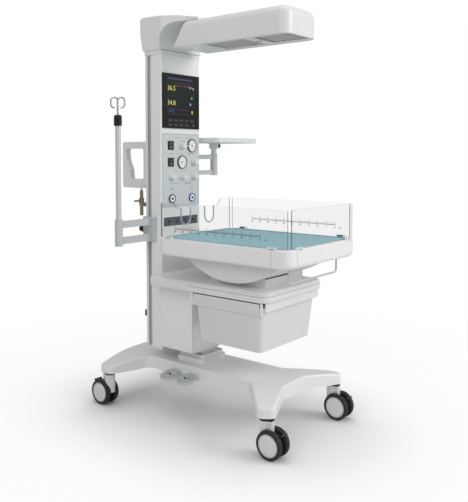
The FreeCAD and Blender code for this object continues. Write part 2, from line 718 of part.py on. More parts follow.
def lift():
    seat = mm.base_top - mm.skirt_sink
    step = mm.skirt_step
    y = mm.lift_middle
    wide, deep = mm.skirt_wide / 2, mm.skirt_deep / 2
    low = rounded(block(-wide, wide, y - deep, y + deep, seat, seat + step + mm.skirt_sink), 10,
                  lambda e: upright(e))
    high = rounded(block(-wide + 9, wide - 9, y - deep + 9, y + deep - 9, seat, seat + step * 2), 10,
                   upright)
    hole = mm.lift_outer / 2 + mm.seat_gap
    skirt = cut(fuse(low, high), block(-hole, hole, y - hole, y + hole, seat - 1, seat + step * 3))
    node("pedestal_skirt", skirt)
    node("lift_outer_tube", square_tube(mm.lift_outer, mm.lift_wall, seat, mm.lift_outer_top))
    node("lift_inner_tube", square_tube(mm.lift_outer - mm.lift_wall * 2 - mm.seat_gap * 2,
                                        mm.lift_wall, mm.lift_inner_foot, mm.shelf_floor))


def housing_and_shelf():
    half, wall = mm.housing_half, mm.housing_wall
    outer = block(-half, half, mm.housing_front, mm.column_front, mm.housing_floor, mm.shelf_floor)
    outer = rounded(outer, 14, lambda e: upright(e) and lies_at(e, "y", mm.housing_front))
    inner = block(wall - half, half - wall, mm.housing_front + wall, mm.column_front - wall,
                  mm.housing_floor - 1, mm.shelf_floor + 1)
    node("lift_housing", cut(outer, inner))

    body = new_body("shelf")
    pad(body, "XY_Plane", [rectangle(-mm.shelf_half, mm.shelf_half, mm.shelf_front, mm.column_front)],
        mm.shelf_top - mm.shelf_floor, mm.shelf_floor)
    soften(body, mm.shelf_corner, lambda e: upright(e) and lies_at(e, "y", mm.shelf_front))
    soften(body, 24, lambda e: upright(e) and lies_at(e, "y", mm.column_front))
    soften(body, 14, lambda e: lies_at(e, "z", mm.shelf_top) and not lies_at(e, "y", mm.column_front))
    soften(body, 6, lambda e: lies_at(e, "z", mm.shelf_floor) and not lies_at(e, "y", mm.column_front))
    node("shelf_slab", body)


def column():
    half, wall = mm.housing_half, mm.column_wall
    front, rear = mm.column_front, mm.column_rear
    lip, back = mm.groove_front, mm.groove_front + mm.groove_wide
    deep = mm.groove_deep
    right = [(half, front), (half, lip), (half - deep, lip), (half - deep, back), (half, back),
             (half, rear)]
    chamber_front = rectangle(wall - half, half - wall, front + wall, lip - wall)
    inset = half - deep - wall
    chamber_rear = rectangle(-inset, inset, lip, rear - wall)
    body = new_body("extrusion")
    pad(body, "XY_Plane", [mirrored_outline(right), chamber_front, chamber_rear],
        mm.column_top - mm.column_floor, mm.column_floor)
    soften(body, 9, lambda e: upright_at(e, [(half, front), (half, rear)]))
    window = block(-mm.strip_half, mm.strip_half, front - 1, front + wall + 1, mm.strip_floor, mm.strip_top)
    node("column_profile", cut(body, window))

    foot = rounded(block(-half, half, front, rear, mm.column_floor - mm.foot_height, mm.column_floor),
                   9, upright)
    foot = rounded(foot, mm.foot_height * 0.7, lambda e: lies_at(e, "z", mm.column_floor - mm.foot_height))
    node("column_foot", foot)
    proud = mm.collar_proud
    collar = rounded(block(-half - proud, half + proud, front - proud, rear + proud,
                           mm.column_top, mm.collar_top), 10, upright)
    middle = (front + rear) / 2
    bore = rod(mm.spigot_radius + mm.running_fit, mm.collar_top - mm.column_top + 2, 0, middle,
               mm.column_top - 1)
    node("column_collar", cut(collar, bore))


def knob_places():
    """Name, x, z and radius of each knob on the control plate."""
    low, high = mm.knob_small, mm.knob_large
    return [("oxygen_knob", mm.knob_one_x, mm.row_one, high),
            ("suction_knob", mm.knob_two_x, mm.row_two, high),
            ("flow_knob_left", mm.flow_left_x, mm.row_three, low),
            ("flow_knob_middle", mm.flow_middle_x, mm.row_three, low),
            ("flow_knob_right", mm.flow_right_x, mm.row_three, low)]


def column_face():
    front = mm.column_front
    face = front - mm.display_thick
    half = mm.display_half
    bezel = rounded(block(-half, half, face, front, mm.display_floor, mm.display_top), 3,
                    lambda e: lies_at(e, "y", face))
    screen = (-mm.screen_half, mm.screen_half, face - 1, face + mm.screen_deep, mm.screen_floor,
              mm.screen_top)
    glass = block(-mm.screen_half, mm.screen_half, face + 0.5, face + mm.screen_deep,
                  mm.screen_floor, mm.screen_top)
    node("display_unit", group(cut(bezel, block(*screen)), glass))

    face = front - mm.plate_thick
    plate = block(-half, half, face, front, mm.plate_floor, mm.plate_top)
    plate = rounded(plate, 12, lambda e: abs(e.BoundBox.YLength - mm.plate_thick.value) < 0.01)
    play = mm.running_fit
    holes = [rod(mm.shaft_radius + play, mm.plate_thick + 2, x, face - 1, z, "y")
             for _, x, z, _ in knob_places()]
    across, tall = mm.switch_half + mm.switch_play, mm.switch_tall + mm.switch_play
    pivot = front - mm.plate_thick / 2
    for z in (mm.row_one, mm.row_two):
        holes.append(block(mm.switch_x - across, mm.switch_x + across, face - 1, front + 1, z - tall,
                           z + tall))
        holes.append(rod(1 + play, (across + 2) * 2, mm.switch_x - across - 2, pivot, z, "x"))
    node("control_plate", cut(plate, *holes))

    for name, x, z, radius in knob_places():
        grip = taper(radius, radius * 0.86, mm.knob_length, 0, 0, 0, "y")
        skirt = rod(radius + 2, 4, 0, 0, 0, "y")
        shaft = rod(mm.shaft_radius, mm.plate_thick - mm.seat_gap, 0, -mm.plate_thick + mm.seat_gap, 0, "y")
        flip = Rotation(Vector(0, 0, 1), 180)
        node(name, fuse(grip, skirt, shaft), x, face - mm.seat_gap, z, flip)
    for name, z in (("power_switch", mm.row_one), ("suction_switch", mm.row_two)):
        key = block(-mm.switch_half, mm.switch_half, -6, -0.2, -mm.switch_tall, mm.switch_tall)
        pin = rod(1, (across + 1.5) * 2, -across - 1.5, 0, 0, "x")
        node(name, fuse(key, pin), mm.switch_x, pivot, z)

    dials = []
    for x, z, radius in ((mm.gauge_one_x, mm.row_one, mm.gauge_large),
                         (mm.gauge_two_x, mm.row_two, mm.gauge_large),
                         (mm.outlet_left_x, mm.row_four, mm.gauge_small),
                         (mm.outlet_right_x, mm.row_four, mm.gauge_small)):
        depth = mm.gauge_thick
        can = rounded(rod(radius, depth, x, face - depth, z, "y"), 2, lambda e: e.Closed and lies_at(
            e, "y", face - depth))
        dials.append(cut(can, rod(radius - 4, 2, x, face - depth - 0.5, z, "y")))
    node("pressure_gauges", group(*dials))

    gap = mm.seat_gap
    strip = block(gap - mm.strip_half, mm.strip_half - gap, front + 1, front + 9,
                  mm.strip_floor + gap, mm.strip_top - gap)
    middle = (mm.strip_floor + mm.strip_top) / 2
    sockets = [rod(mm.socket_radius, 6, mm.socket_pitch * (i - 1.5), front, middle, "y") for i in range(4)]
    node("connector_strip", cut(strip, *sockets))


def column_rear():
    rear = mm.column_rear
    reach, bar = mm.handle_reach, mm.handle_bar
    low, high = mm.handle_floor, mm.handle_top
    frames = []
    for side in (-1, 1):
        x = mm.handle_side * side
        body = new_body("handle_side")
        sill = low + mm.handle_low_bar
        outline = [(rear, low), (rear + reach, low), (rear + reach, high), (rear, high)]
        hole = [(rear + mm.handle_root, sill), (rear + reach * 0.705, sill),
                (rear + reach * 0.72, sill + 47),
                (rear + reach * 0.845, sill + 100), (rear + reach * 0.875, high - bar),
                (rear + mm.handle_root, high - bar)]
        pad(body, "YZ_Plane", [outline, hole], mm.handle_wide, x - mm.handle_wide / 2)
        soften(body, 12, lambda e: abs(e.BoundBox.XLength - mm.handle_wide.value) < 0.01
               and not lies_at(e, "y", rear))
        frames.append(body)
    grip = rod(mm.grip_radius, mm.handle_side * 2, -mm.handle_side, rear + reach - mm.grip_radius - 2,
               high - mm.grip_radius - 3, "x")
    node("rear_handle", fuse(frames[0], frames[1], grip))

    x, z, r = mm.gas_x, mm.gas_z, mm.gas_radius
    y = rear + mm.gas_out
    bracket = block(x - r, x + r, rear, y, z - 28, z - 8)
    body = rod(r, mm.gas_low + mm.gas_high - 14, x, y, z - mm.gas_low)
    collar = rod(r + 4, 36, x, y, z - 22)
    cap = taper(r - 1, r / 2, 15, x, y, z + mm.gas_high - 15)
    branch = rod(r - 1, r + 6, x - r - 6, y, z, "x")
    barb = rod(mm.barb_radius, mm.barb_length, x - r - 6 - mm.barb_length, y, z, "x")
    node("gas_inlet", fuse(bracket, body, collar, cap, branch, barb))
    box = rounded(block(-132, -88, rear, rear + 22, 438, 468), 3, lambda e: lies_at(e, "y", rear + 22))
    node("power_inlet", cut(box, block(-124, -96, rear + 8, rear + 23, 444, 462)))


def bend(radius, thick, start, end, x, y, z, turn):
    """Part of a ring, from one angle to the other in its own plane."""
    item = fresh("Part::Torus", "bend")
    item.Radius1, item.Radius2 = dim(radius).value, dim(thick).value
    bind(item, "Radius1", radius)
    bind(item, "Radius2", thick)
    item.Angle3 = end - start
    place(item, x, y, z, turn.multiply(Rotation(Vector(0, 0, 1), start)))
    return item


def drip_pole():
    side = -mm.housing_half
    x, y = mm.pole_x, mm.pole_y
    out = side - mm.clamp_thick
    rear_face = mm.column_rear + mm.clamp_behind
    clamp = rounded(block(out, side, y - 30, rear_face, mm.clamp_floor, mm.clamp_top), 4,
                    lambda e: lies_at(e, "x", out))
    key = block(side - 1, side + mm.groove_deep - 1, mm.groove_front + 0.5,
                mm.groove_front + mm.groove_wide - 0.5, mm.clamp_floor, mm.clamp_top)
    tube = rod(mm.socket_tube_radius, mm.socket_top - mm.socket_floor, x, y, mm.socket_floor)
    bars = []
    for z in (mm.clamp_floor + 6, mm.clamp_top - 6 - mm.bar_tall):
        bars.append(block(x, out + 1, y - mm.bar_thick / 2, y + mm.bar_thick / 2, z, z + mm.bar_tall))
    bore = rod(mm.pole_radius + mm.running_fit, mm.socket_top - mm.pole_foot + 1, x, y, mm.pole_foot)
    screw_x, screw_z = out + 8, (mm.clamp_floor + mm.clamp_top) / 2
    screw = rod(mm.shaft_radius + mm.running_fit, 26, screw_x, rear_face - 25, screw_z, "y")
    node("pole_bracket", cut(fuse(clamp, key, tube, *bars), bore, screw))
    knob = fuse(taper(18, 15, 20, 0, 0, 0, "y"), rod(mm.shaft_radius, 22, 0, -22, 0, "y"))
    node("pole_clamp_knob", knob, screw_x, rear_face + mm.seat_gap, screw_z)

    pole = rod(mm.pole_radius, mm.pole_top - mm.pole_foot, x, y, mm.pole_foot)
    cap = rounded(rod(mm.cap_radius, mm.cap_height, x, y, mm.pole_top), 11,
                  lambda e: e.Closed and lies_at(e, "z", mm.pole_top + mm.cap_height))
    room = rod(mm.rod_radius + mm.running_fit, mm.pole_top + mm.cap_height - mm.rod_foot + 2, x, y,
               mm.rod_foot - 1)
    node("drip_pole", cut(fuse(pole, cap), room))
    top = mm.pole_top + mm.cap_height + mm.hook_rise
    stem = rod(mm.rod_radius, top - mm.rod_foot + 2, x, y, mm.rod_foot)
    curl, r = mm.hook_curl, mm.hook_rod
    hooks = []
    for side in (0, 180):
        turn = side - mm.hook_turn.value
        ahead = (math.cos(math.radians(turn)), math.sin(math.radians(turn)))
        spin = Rotation(Vector(0, 0, 1), turn).multiply(Rotation(Vector(1, 0, 0), 90))
        hooks.append(bend(curl, r, 0, 180, x + curl * ahead[0], y + curl * ahead[1], top, spin))
        hooks.append(bend(curl, r, -100, 0, x + curl * ahead[0], y + curl * ahead[1],
                          top - mm.hook_drop, spin))
        hooks.append(rod(r, mm.hook_drop, x + curl * (ahead[0] * 2), y + curl * (ahead[1] * 2),
                         top - mm.hook_drop))
    node("drip_hooks", fuse(stem, *hooks))


def tray():
    side = mm.housing_half
    x, y = mm.tray_x, mm.pole_y
    plate = rounded(block(side, side + 10, y - 26, y + 30, mm.tray_tube_floor, mm.tray_tube_top), 4,
                    lambda e: lies_at(e, "x", side + 10))
    key = block(side - mm.groove_deep + 1, side + 1, mm.groove_front + 0.5,
                mm.groove_front + mm.groove_wide - 0.5, mm.tray_tube_floor, mm.tray_tube_top)
    tube = rod(mm.tray_tube_radius, mm.tray_tube_top - mm.tray_tube_floor, x, y, mm.tray_tube_floor)
    bars = [block(side + 9, x, y - mm.bar_thick / 2, y + mm.bar_thick / 2, z, z + 24)
            for z in (mm.tray_tube_floor + 4, mm.tray_tube_top - 28)]
    bore = rod(mm.tray_stem_radius + mm.running_fit, mm.tray_tube_top - mm.tray_tube_floor, x, y,
               mm.tray_tube_floor + 6)
    node("tray_bracket", cut(fuse(plate, key, tube, *bars), bore))

    wall = mm.tray_wall
    x0, x1 = x + mm.tray_inner, x + mm.tray_outer
    y0, y1 = y + mm.tray_front, y + mm.tray_rear
    pan = rounded(block(x0, x1, y0, y1, mm.tray_floor, mm.tray_top), mm.tray_corner, upright)
    room = rounded(block(x0 + wall, x1 - wall, y0 + wall, y1 - wall, mm.tray_floor + wall * 2,
                         mm.tray_top + 1),
                   mm.tray_corner - wall, upright)
    pan = rounded(pan, 3, lambda e: lies_at(e, "z", mm.tray_floor))
    hub = rod(26, mm.tray_hub, x, y, mm.tray_floor - mm.tray_hub)
    stem = rod(mm.tray_stem_radius, mm.tray_floor - mm.tray_tube_floor - 10, x, y, mm.tray_tube_floor + 6.5)
    socket = rod(mm.shaft_radius + mm.running_fit, 20, x + 10, y, mm.tray_floor - mm.tray_hub / 2, "x")
    node("tray", cut(fuse(cut(pan, room), hub, stem), socket))
    knob = fuse(taper(14, 12, 18, 0, 0, 0, "x"), rod(mm.shaft_radius, 12, -12, 0, 0, "x"))
    node("tray_clamp_knob", knob, x + 26 + mm.seat_gap, y, mm.tray_floor - mm.tray_hub / 2)


def tapered(low, high, z0, z1, radius):
    """A solid with sloping sides between two rectangles (x0, x1, y0, y1), its corners rounded."""
    item = fresh("Part::Wedge", "tapered")
    amounts = {"Xmin": low[0], "Xmax": low[1], "Zmin": -low[3], "Zmax": -low[2], "X2min": high[0],
               "X2max": high[1], "Z2min": -high[3], "Z2max": -high[2], "Ymax": z1 - z0}
    item.Ymin = 0
    for prop, amount in amounts.items():
        setattr(item, prop, dim(amount).value)
        bind(item, prop, amount)
    place(item, 0, 0, z0, Rotation(Vector(1, 0, 0), 90))
    if not radius:
        return item
    return rounded(item, radius, lambda e: e.BoundBox.ZLength > 10)


def drawer():
    half, draft, wall = mm.tub_half, mm.tub_draft, mm.tub_wall
    front, rear = mm.tub_front, mm.tub_rear
    low = (draft - half, half - draft, front + draft, rear - draft)
    high = (-half, half, front, rear)
    low_in = (draft - half + wall, half - draft - wall, front + draft + wall, rear - draft - wall)
    high_in = (wall - half, half - wall, front + wall, rear - wall)
    outer = tapered(low, high, mm.tub_floor, mm.tub_top, 22)
    inner = tapered(low_in, high_in, mm.tub_floor + wall, mm.tub_top + 1, 19)
    flange = mm.flange
    lip = block(-half, half, front - flange, rear + flange, mm.tub_top - 6, mm.tub_top)
    lip_hole = rounded(block(wall - half, half - wall, front + wall, rear - wall, mm.tub_top - 7,
                             mm.tub_top + 1),
                       18, upright)
    front_lip = block(-half - 7, -half + 4, front - flange + 6, rear + flange - 6, mm.tub_top - 36,
                      mm.tub_top)
    front_lip = rounded(front_lip, 3, lambda e: lies_at(e, "x", -half - 7))
    node("drawer_tub", fuse(cut(outer, inner), cut(fuse(lip, front_lip), lip_hole)))
    gap = mm.seat_gap
    rails = []
    for edge, way in ((front - flange - gap, -1), (rear + flange + gap, 1)):
        near, far = edge, edge + mm.rail_thick * way
        web = block(mm.rail_inset - half, half, far if way < 0 else near, near if way < 0 else far,
                    mm.rail_floor, mm.shelf_floor)
        in_edge = edge - (flange - 2) * way
        ledge = block(mm.rail_inset - half, half, near if way < 0 else in_edge,
                      in_edge if way < 0 else near,
                      mm.rail_floor, mm.tub_top - 6 - gap)
        rails.append(fuse(web, ledge))
    node("drawer_runners", group(*rails))


def bed():
    half, foot, head = mm.bed_half, mm.bed_foot, mm.bed_head
    wall = mm.bed_rim
    floor, top = mm.bed_floor, mm.bed_top
    seat = mm.mattress_floor
    deck = 9
    outer = rounded(block(-half, half, foot, head, floor, top), 62, upright)
    outer = rounded(outer, 20, lambda e: lies_at(e, "z", floor))
    outer = rounded(outer, 7, lambda e: lies_at(e, "z", top))
    well = rounded(block(wall - half, half - wall, foot + wall, head - wall, seat, top + 1), 32, upright)
    under = rounded(block(wall - half + 8, half - wall - 8, foot + wall + 8, head - wall - 8,
                          floor - 1, seat - deck), 24, upright)
    lugs, holes = [], []
    pin = mm.hinge_pin + mm.running_fit
    z, out, lug = mm.hinge_z, mm.hinge_out, mm.lug_half
    for y in (foot + mm.hinge_inset, head - mm.hinge_inset):
        for side in (-1, 1):
            x = (half - out) * side
            holes.append(rod(pin, mm.lug_gap * 4, x, y - mm.lug_gap * 2, z, "y"))
            for way in (-1, 1):
                at = y + mm.lug_gap * way
                lugs.append(block(x - lug, x + lug, at - 3, at + 3, top - 9, z + mm.lug_rise))
    for x in (mm.hinge_inset - half, half - mm.hinge_inset):
        y = foot + out - 3
        holes.append(rod(pin, mm.lug_gap * 4, x - mm.lug_gap * 2, y, z, "x"))
        for way in (-1, 1):
            at = x + mm.lug_gap * way
            lugs.append(block(at - 3, at + 3, y - lug, y + lug, top - 9, z + mm.lug_rise))
    node("bed_tray", cut(fuse(cut(outer, well, under), *lugs), *holes))
    gap = mm.seat_gap
    pad_block = rounded(block(wall - half + 1, half - wall - 1, foot + wall + 1, head - wall - 1,
                              seat + gap, mm.mattress_top), 30, upright)
    node("mattress", rounded(pad_block, 10, lambda e: lies_at(e, "z", mm.mattress_top)))

    pivot_y, pivot_z, radius = mm.tilt_y, mm.tilt_z, mm.tilt_radius
    wide = mm.rocker_half
    shell = mm.rocker_wall
    start = foot + mm.rail_in + mm.rail_rod + 1
    rocker = common(rod(radius, wide * 2, -wide, pivot_y, pivot_z, "x"),
                    block(-wide, wide, start, pivot_y * 2 - start, pivot_z - radius - 1, seat - deck))
    room = common(rod(radius - shell, (wide - shell) * 2, shell - wide, pivot_y, pivot_z, "x"),
                  block(-wide, wide, start + shell, pivot_y * 2 - start - shell, pivot_z - radius, seat))
    node("tilt_rocker", cut(rocker, room))
    cradle = block(-mm.cradle_half, mm.cradle_half, pivot_y - mm.cradle_reach, pivot_y + mm.cradle_reach,
                   mm.shelf_top, mm.cradle_top)
    scoop = rod(radius + gap, wide * 2 + 20, -wide - 10, pivot_y, pivot_z, "x")
    node("tilt_cradle", rounded(cut(cradle, scoop), 6, upright))

    y, low, r = foot + mm.rail_in, mm.rail_low, mm.rail_rod
    x = mm.rail_half
    curve = mm.rail_bend
    bits = [rod(r, x * 2 - curve * 2, curve - x, y, low, "x")]
    for side in (-1, 1):
        bits.append(rod(r, seat - deck - low - curve, x * side, y, low + curve))
        start = 180 if side < 0 else 270
        bits.append(bend(curve, r, start, start + 90, (x - curve) * side, y, low + curve, ON_EDGE))
    node("foot_rail", fuse(*bits))


def clip(x0, x1, y0, y1, z, pin_x, pin_y, along):
    """A panel's hinge clip and its pin, which turns in the tray's lugs."""
    body = block(x0, x1, y0, y1, z - mm.lug_rise, z + mm.lug_rise)
    length = (mm.lug_gap + 3) * 2
    if along == "y":
        pin = rod(mm.hinge_pin, length, pin_x, pin_y - length / 2, z, "y")
    else:
        pin = rod(mm.hinge_pin, length, pin_x - length / 2, pin_y, z, "x")
    return fuse(body, pin)


def panels():
    half, foot, head = mm.bed_half, mm.bed_foot, mm.bed_head
    z, out, thick = mm.hinge_z, mm.hinge_out, mm.panel_thick
    low, high = mm.panel_floor, mm.panel_top
    reach = mm.lug_gap - 3 - mm.seat_gap
    inset = half - mm.panel_in
    for name, side in (("near_panel", -1), ("far_panel", 1)):
        x0, x1 = sorted([inset * side, (inset - thick) * side], key=float)
        sheet_block = rounded(block(x0, x1, foot + mm.panel_foot_in, head - mm.panel_head_in, low,
                                    high), mm.panel_corner,
                              lambda e: e.BoundBox.XLength > 1 and lies_at(e, "z", high)
                              and e.BoundBox.YLength < 0.01)
        pieces = [sheet_block]
        for y in (foot + mm.hinge_inset, head - mm.hinge_inset):
            pin_x = (half - out) * side
            ends = sorted([inset * side, pin_x + 4 * side], key=float)
            pieces.append(clip(ends[0], ends[1], y - reach, y + reach, z, pin_x, y, "y"))
        node(name, fuse(*pieces))
    y1 = foot + mm.panel_in - 2
    span = mm.foot_panel_half
    sheet_block = rounded(block(-span, span, y1 - thick, y1, low, high), mm.panel_corner,
                          lambda e: e.BoundBox.YLength > 1 and lies_at(e, "z", high)
                          and e.BoundBox.XLength < 0.01)
    pieces = [sheet_block]
    for x in (mm.hinge_inset - half, half - mm.hinge_inset):
        pin_y = foot + out - 3
        pieces.append(clip(x - reach, x + reach, pin_y - 4, y1 - thick, z, x, pin_y, "x"))
    node("foot_panel", fuse(*pieces))

    span = mm.head_panel_half
    sink, ramp = mm.head_panel_low, mm.head_panel_ramp
    back = head - mm.head_panel_in
    body = new_body("head_panel")
    outline = [(-span, mm.bed_top), (span, mm.bed_top), (span, high), (ramp, high), (ramp - 27, sink),
               (27 - ramp, sink), (-ramp, high), (-span, high)]
    pad(body, "XZ_Plane", [outline], thick, -back)
    notch = mm.notch_radius
    for side in (-1, 1):
        x = mm.notch_x * side
        deep = mm.notch_floor + notch
        pocket(body, "XZ_Plane", [rectangle(x - notch, x + notch, deep, high)], thick * 3, thick / 2 - back,
               both_ways=True)
        pocket(body, "XZ_Plane", [("circle", x, deep, notch)], thick * 3, thick / 2 - back, both_ways=True)
    node("head_panel", body)


def head():
    low, high = mm.collar_top + 0.5, mm.neck_top
    roof = mm.hood_top
    front, rear = mm.column_front, mm.column_rear
    body = new_body("neck")
    outline = [(front, low), (front, roof), (mm.neck_front, roof), (mm.neck_front, roof + 10),
               (mm.neck_front + 110, high - 6), (rear - 20, high), (rear + mm.neck_back, high - 6),
               (rear + 6, low)]
    top_half = mm.neck_half + mm.neck_flare
    pad(body, "YZ_Plane", [outline], (top_half + 1) * 2, 0, both_ways=True)

    def along_x_at(y, z):
        y, z = dim(y).value, dim(z).value
        return lambda e: e.BoundBox.XLength > 50 and abs(e.BoundBox.YMin - y) < 0.1 and abs(
            e.BoundBox.ZMin - z) < 0.1 and e.BoundBox.YLength < 0.1 and e.BoundBox.ZLength < 0.1

    soften(body, mm.neck_sweep, along_x_at(front, roof))
    soften(body, 24, along_x_at(rear + mm.neck_back, high - 6))
    soften(body, 90, along_x_at(mm.neck_front + 110, high - 6))
    wide, slim = top_half, mm.hood_half - mm.neck_slim
    plan = new_body("neck_plan")
    tail = rear + mm.neck_back + 2
    right = [(slim, mm.neck_front - 1), (slim, mm.neck_front + 70), (wide, front - 10), (wide, tail)]
    pad(plan, "XY_Plane", [mirrored_outline(right)], high - low + 40, low - 20)
    soften(plan, 60,
           lambda e: upright(e) and (lies_at(e, "y", mm.neck_front + 70) or lies_at(e, "y", front - 10)))
    soften(plan, 34, lambda e: upright(e) and lies_at(e, "y", tail))
    flare = tapered((-mm.neck_half, mm.neck_half, mm.neck_front - 2, tail + 1),
                    (-top_half, top_half, mm.neck_front - 2, tail + 1), low, high + 1, 0)
    shell = common(body, plan, flare)
    middle = (front + rear) / 2
    spigot = rod(mm.spigot_radius, mm.spigot_length + 1, 0, middle, low - mm.spigot_length)
    node("neck_cover", fuse(shell, spigot))

    half, wall = mm.hood_half, mm.hood_wall
    y0, y1 = mm.hood_front, mm.hood_rear
    floor = mm.hood_floor
    slant = mm.hood_slant
    outer = new_body("hood")
    pad(outer, "YZ_Plane", [[(y0, floor), (y0, roof), (y1 - slant, roof), (y1, floor)]], half * 2, 0,
        both_ways=True)
    soften(outer, mm.hood_corner, lambda e: upright(e) and lies_at(e, "y", y0))
    soften(outer, mm.hood_edge, lambda e: lies_at(e, "z", roof) and not lies_at(e, "y", y1 - slant))
    room = new_body("hood_room")
    back = wall * 1.3
    pad(room, "YZ_Plane",
        [[(y0 + wall, floor - 1), (y0 + wall, roof - wall), (y1 - slant - back, roof - wall),
                            (y1 - back, floor - 1)]], (half - wall) * 2, 0, both_ways=True)
    soften(room, mm.hood_corner - wall, lambda e: upright(e) and lies_at(e, "y", y0 + wall))
    soften(room, mm.hood_edge - wall,
           lambda e: lies_at(e, "z", roof - wall) and not lies_at(e, "y", y1 - slant - back))
    node("hood_shell", cut(outer, room))

    gap = mm.seat_gap
    inner = half - wall - gap
    frame = rounded(block(-inner, inner, y0 + wall + gap, y1 - wall * 4, floor + 2, floor + 7),
                    mm.hood_corner - wall - gap,
                    lambda e: upright(e) and lies_at(e, "y", y0 + wall + gap))
    mouth = mm.mouth_half
    mouths = [(mm.mouth_front, mm.lamp_y - mm.lamp_bay), (mm.lamp_y + mm.lamp_bay, mm.mouth_rear)]
    openings = [block(-mouth, mouth, a, b, floor + 1, floor + 8) for a, b in mouths]
    lamp_hole = rod(mm.lamp_radius + gap, 8, 0, mm.lamp_y, floor + 1)
    fins = []
    for a, b in mouths:
        count = max(2, int((b.value - a.value) / mm.fin_pitch.value))
        for i in range(1, count):
            y = a + (b - a) * (i / count)
            fins.append(block(-mouth - 1, mouth + 1, y - 1.2, y + 1.2, floor + 2, floor + 14))
    node("hood_grilles", fuse(cut(frame, *(openings + [lamp_hole])), *fins))
    lamp = fuse(rod(mm.lamp_radius, 14, 0, mm.lamp_y, floor - 1), rod(mm.lamp_radius + 5, 5, 0, mm.lamp_y,
                                                                        floor + 7 + gap))
    node("exam_lamp", lamp)
    parts = []
    sheetmetal = 1.5
    centre_z = floor + 14 + gap
    for a, b in mouths:
        r = mouth - 2
        shell = cut(rod(r, b - a - 8, 0, a + 4, centre_z, "y"),
                    rod(r - sheetmetal, b - a + 2, 0, a - 1, centre_z, "y"),
                    block(-r - 1, r + 1, a - 2, b + 2, centre_z - r - 1, centre_z))
        ends = [cut(rod(r, sheetmetal, 0, y, centre_z, "y"),
                    block(-r - 1, r + 1, y - 1, y + 4, centre_z - r - 1, centre_z))
                for y in (a + 4, b - 4 - sheetmetal)]
        element = rod(mm.element_radius, b - a - 8, 0, a + 4, centre_z + 30, "y")
        parts.append(fuse(shell, *ends, element))
    node("heater_module", group(*parts))


def build():
    base_casting()
    for place_of in caster_places():
        caster(*place_of)
    pedal("raise_pedal", mm.pedal_y_up)
    pedal("lower_pedal", mm.pedal_y_down)
    lift()
    housing_and_shelf()
    column()
    column_face()
    column_rear()
    drip_pole()
    tray()
    drawer()
    bed()
    panels()
    head()


def write():
    doc.recompute()
    for item in doc.Objects:
        if "Invalid" in item.State or "Error" in item.State:
            raise RuntimeError("%s failed: %s" % (item.Name, item.State))
    os.makedirs("parts", exist_ok=True)
    for item in nodes:
        shape = item.Shape
        if shape.isNull() or not shape.isValid():
            raise RuntimeError("%s has no valid shape" % item.Label)
        shape.exportStep("parts/%s.step" % item.Label)
    print("%d pieces written" % len(nodes))


build()
write()
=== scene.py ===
import math

import bmesh
import bpy
import numpy as np
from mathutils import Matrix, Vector


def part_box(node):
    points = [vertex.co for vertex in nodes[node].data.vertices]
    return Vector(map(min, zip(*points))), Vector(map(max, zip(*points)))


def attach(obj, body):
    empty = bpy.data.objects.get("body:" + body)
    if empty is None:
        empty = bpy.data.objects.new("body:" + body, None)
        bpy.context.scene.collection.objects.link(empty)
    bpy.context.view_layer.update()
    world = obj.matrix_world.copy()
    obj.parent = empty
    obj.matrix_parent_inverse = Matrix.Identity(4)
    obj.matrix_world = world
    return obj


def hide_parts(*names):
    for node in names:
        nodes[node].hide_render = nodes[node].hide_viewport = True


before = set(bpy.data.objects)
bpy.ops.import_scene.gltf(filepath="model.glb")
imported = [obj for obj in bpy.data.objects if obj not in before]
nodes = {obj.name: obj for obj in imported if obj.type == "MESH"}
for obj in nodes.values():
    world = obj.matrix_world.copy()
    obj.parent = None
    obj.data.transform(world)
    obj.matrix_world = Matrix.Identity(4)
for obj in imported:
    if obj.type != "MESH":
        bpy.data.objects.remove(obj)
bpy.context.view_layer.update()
print("frame loaded:", len(nodes), "nodes")

# the camera stands where the photograph was taken, in row metres
camera = {
    "place": (-2.5727, -2.08165, 1.2599),
    "yaw": 51.27,  # degrees from +Y towards +X
    "pitch": 3.03,  # degrees below level
    "focalPixels": 668.2,
    "frameHeight": 502,
    "frameWidth": 468,
    "axisPixel": (233.3, 190.8),
    "sensor": 36.0,
}


def makeCamera():
    tall = camera["frameHeight"]
    lens = bpy.data.cameras.new("camera")
    lens.sensor_width = camera["sensor"]
    lens.lens = camera["sensor"] * camera["focalPixels"] / tall
    lens.shift_x = (camera["frameWidth"] / 2 - camera["axisPixel"][0]) / tall
    lens.shift_y = (camera["axisPixel"][1] - tall / 2) / tall
    eye = bpy.data.objects.new("camera", lens)
    eye.location = camera["place"]
    eye.rotation_euler = (math.radians(90 - camera["pitch"]), 0, math.radians(-camera["yaw"]))
    bpy.context.scene.collection.objects.link(eye)
    bpy.context.scene.camera = eye


makeCamera()
print("camera placed")

# the warmer's own middle plane and the y of its frame, in row millimetres
middlePlane = {"across": 71.7, "along": -124.75}


def at(x, y, z):
    # warmer millimetres to row metres
    return ((x - middlePlane["across"]) / 1000, (y - middlePlane["along"]) / 1000, z / 1000)


def linear(hexCode):
    # sRGB hex to linear RGBA
    parts = [int(hexCode[i:i + 2], 16) / 255 for i in (1, 3, 5)]
    return [p / 12.92 if p <= 0.04045 else ((p + 0.055) / 1.055) ** 2.4 for p in parts] + [1.0]


def addNode(tree, kind, settings=None, links=None):
    # adds a node; a setting names a property or an input, and links go from (node, output) to its inputs
    item = tree.nodes.new(kind)
    for key, value in (settings or {}).items():
        if isinstance(key, str) and hasattr(item, key):
            setattr(item, key, value)
        else:
            item.inputs[key].default_value = value
    for key, (source, output) in (links or {}).items():
        tree.links.new(source.outputs[output], item.inputs[key])
    return item


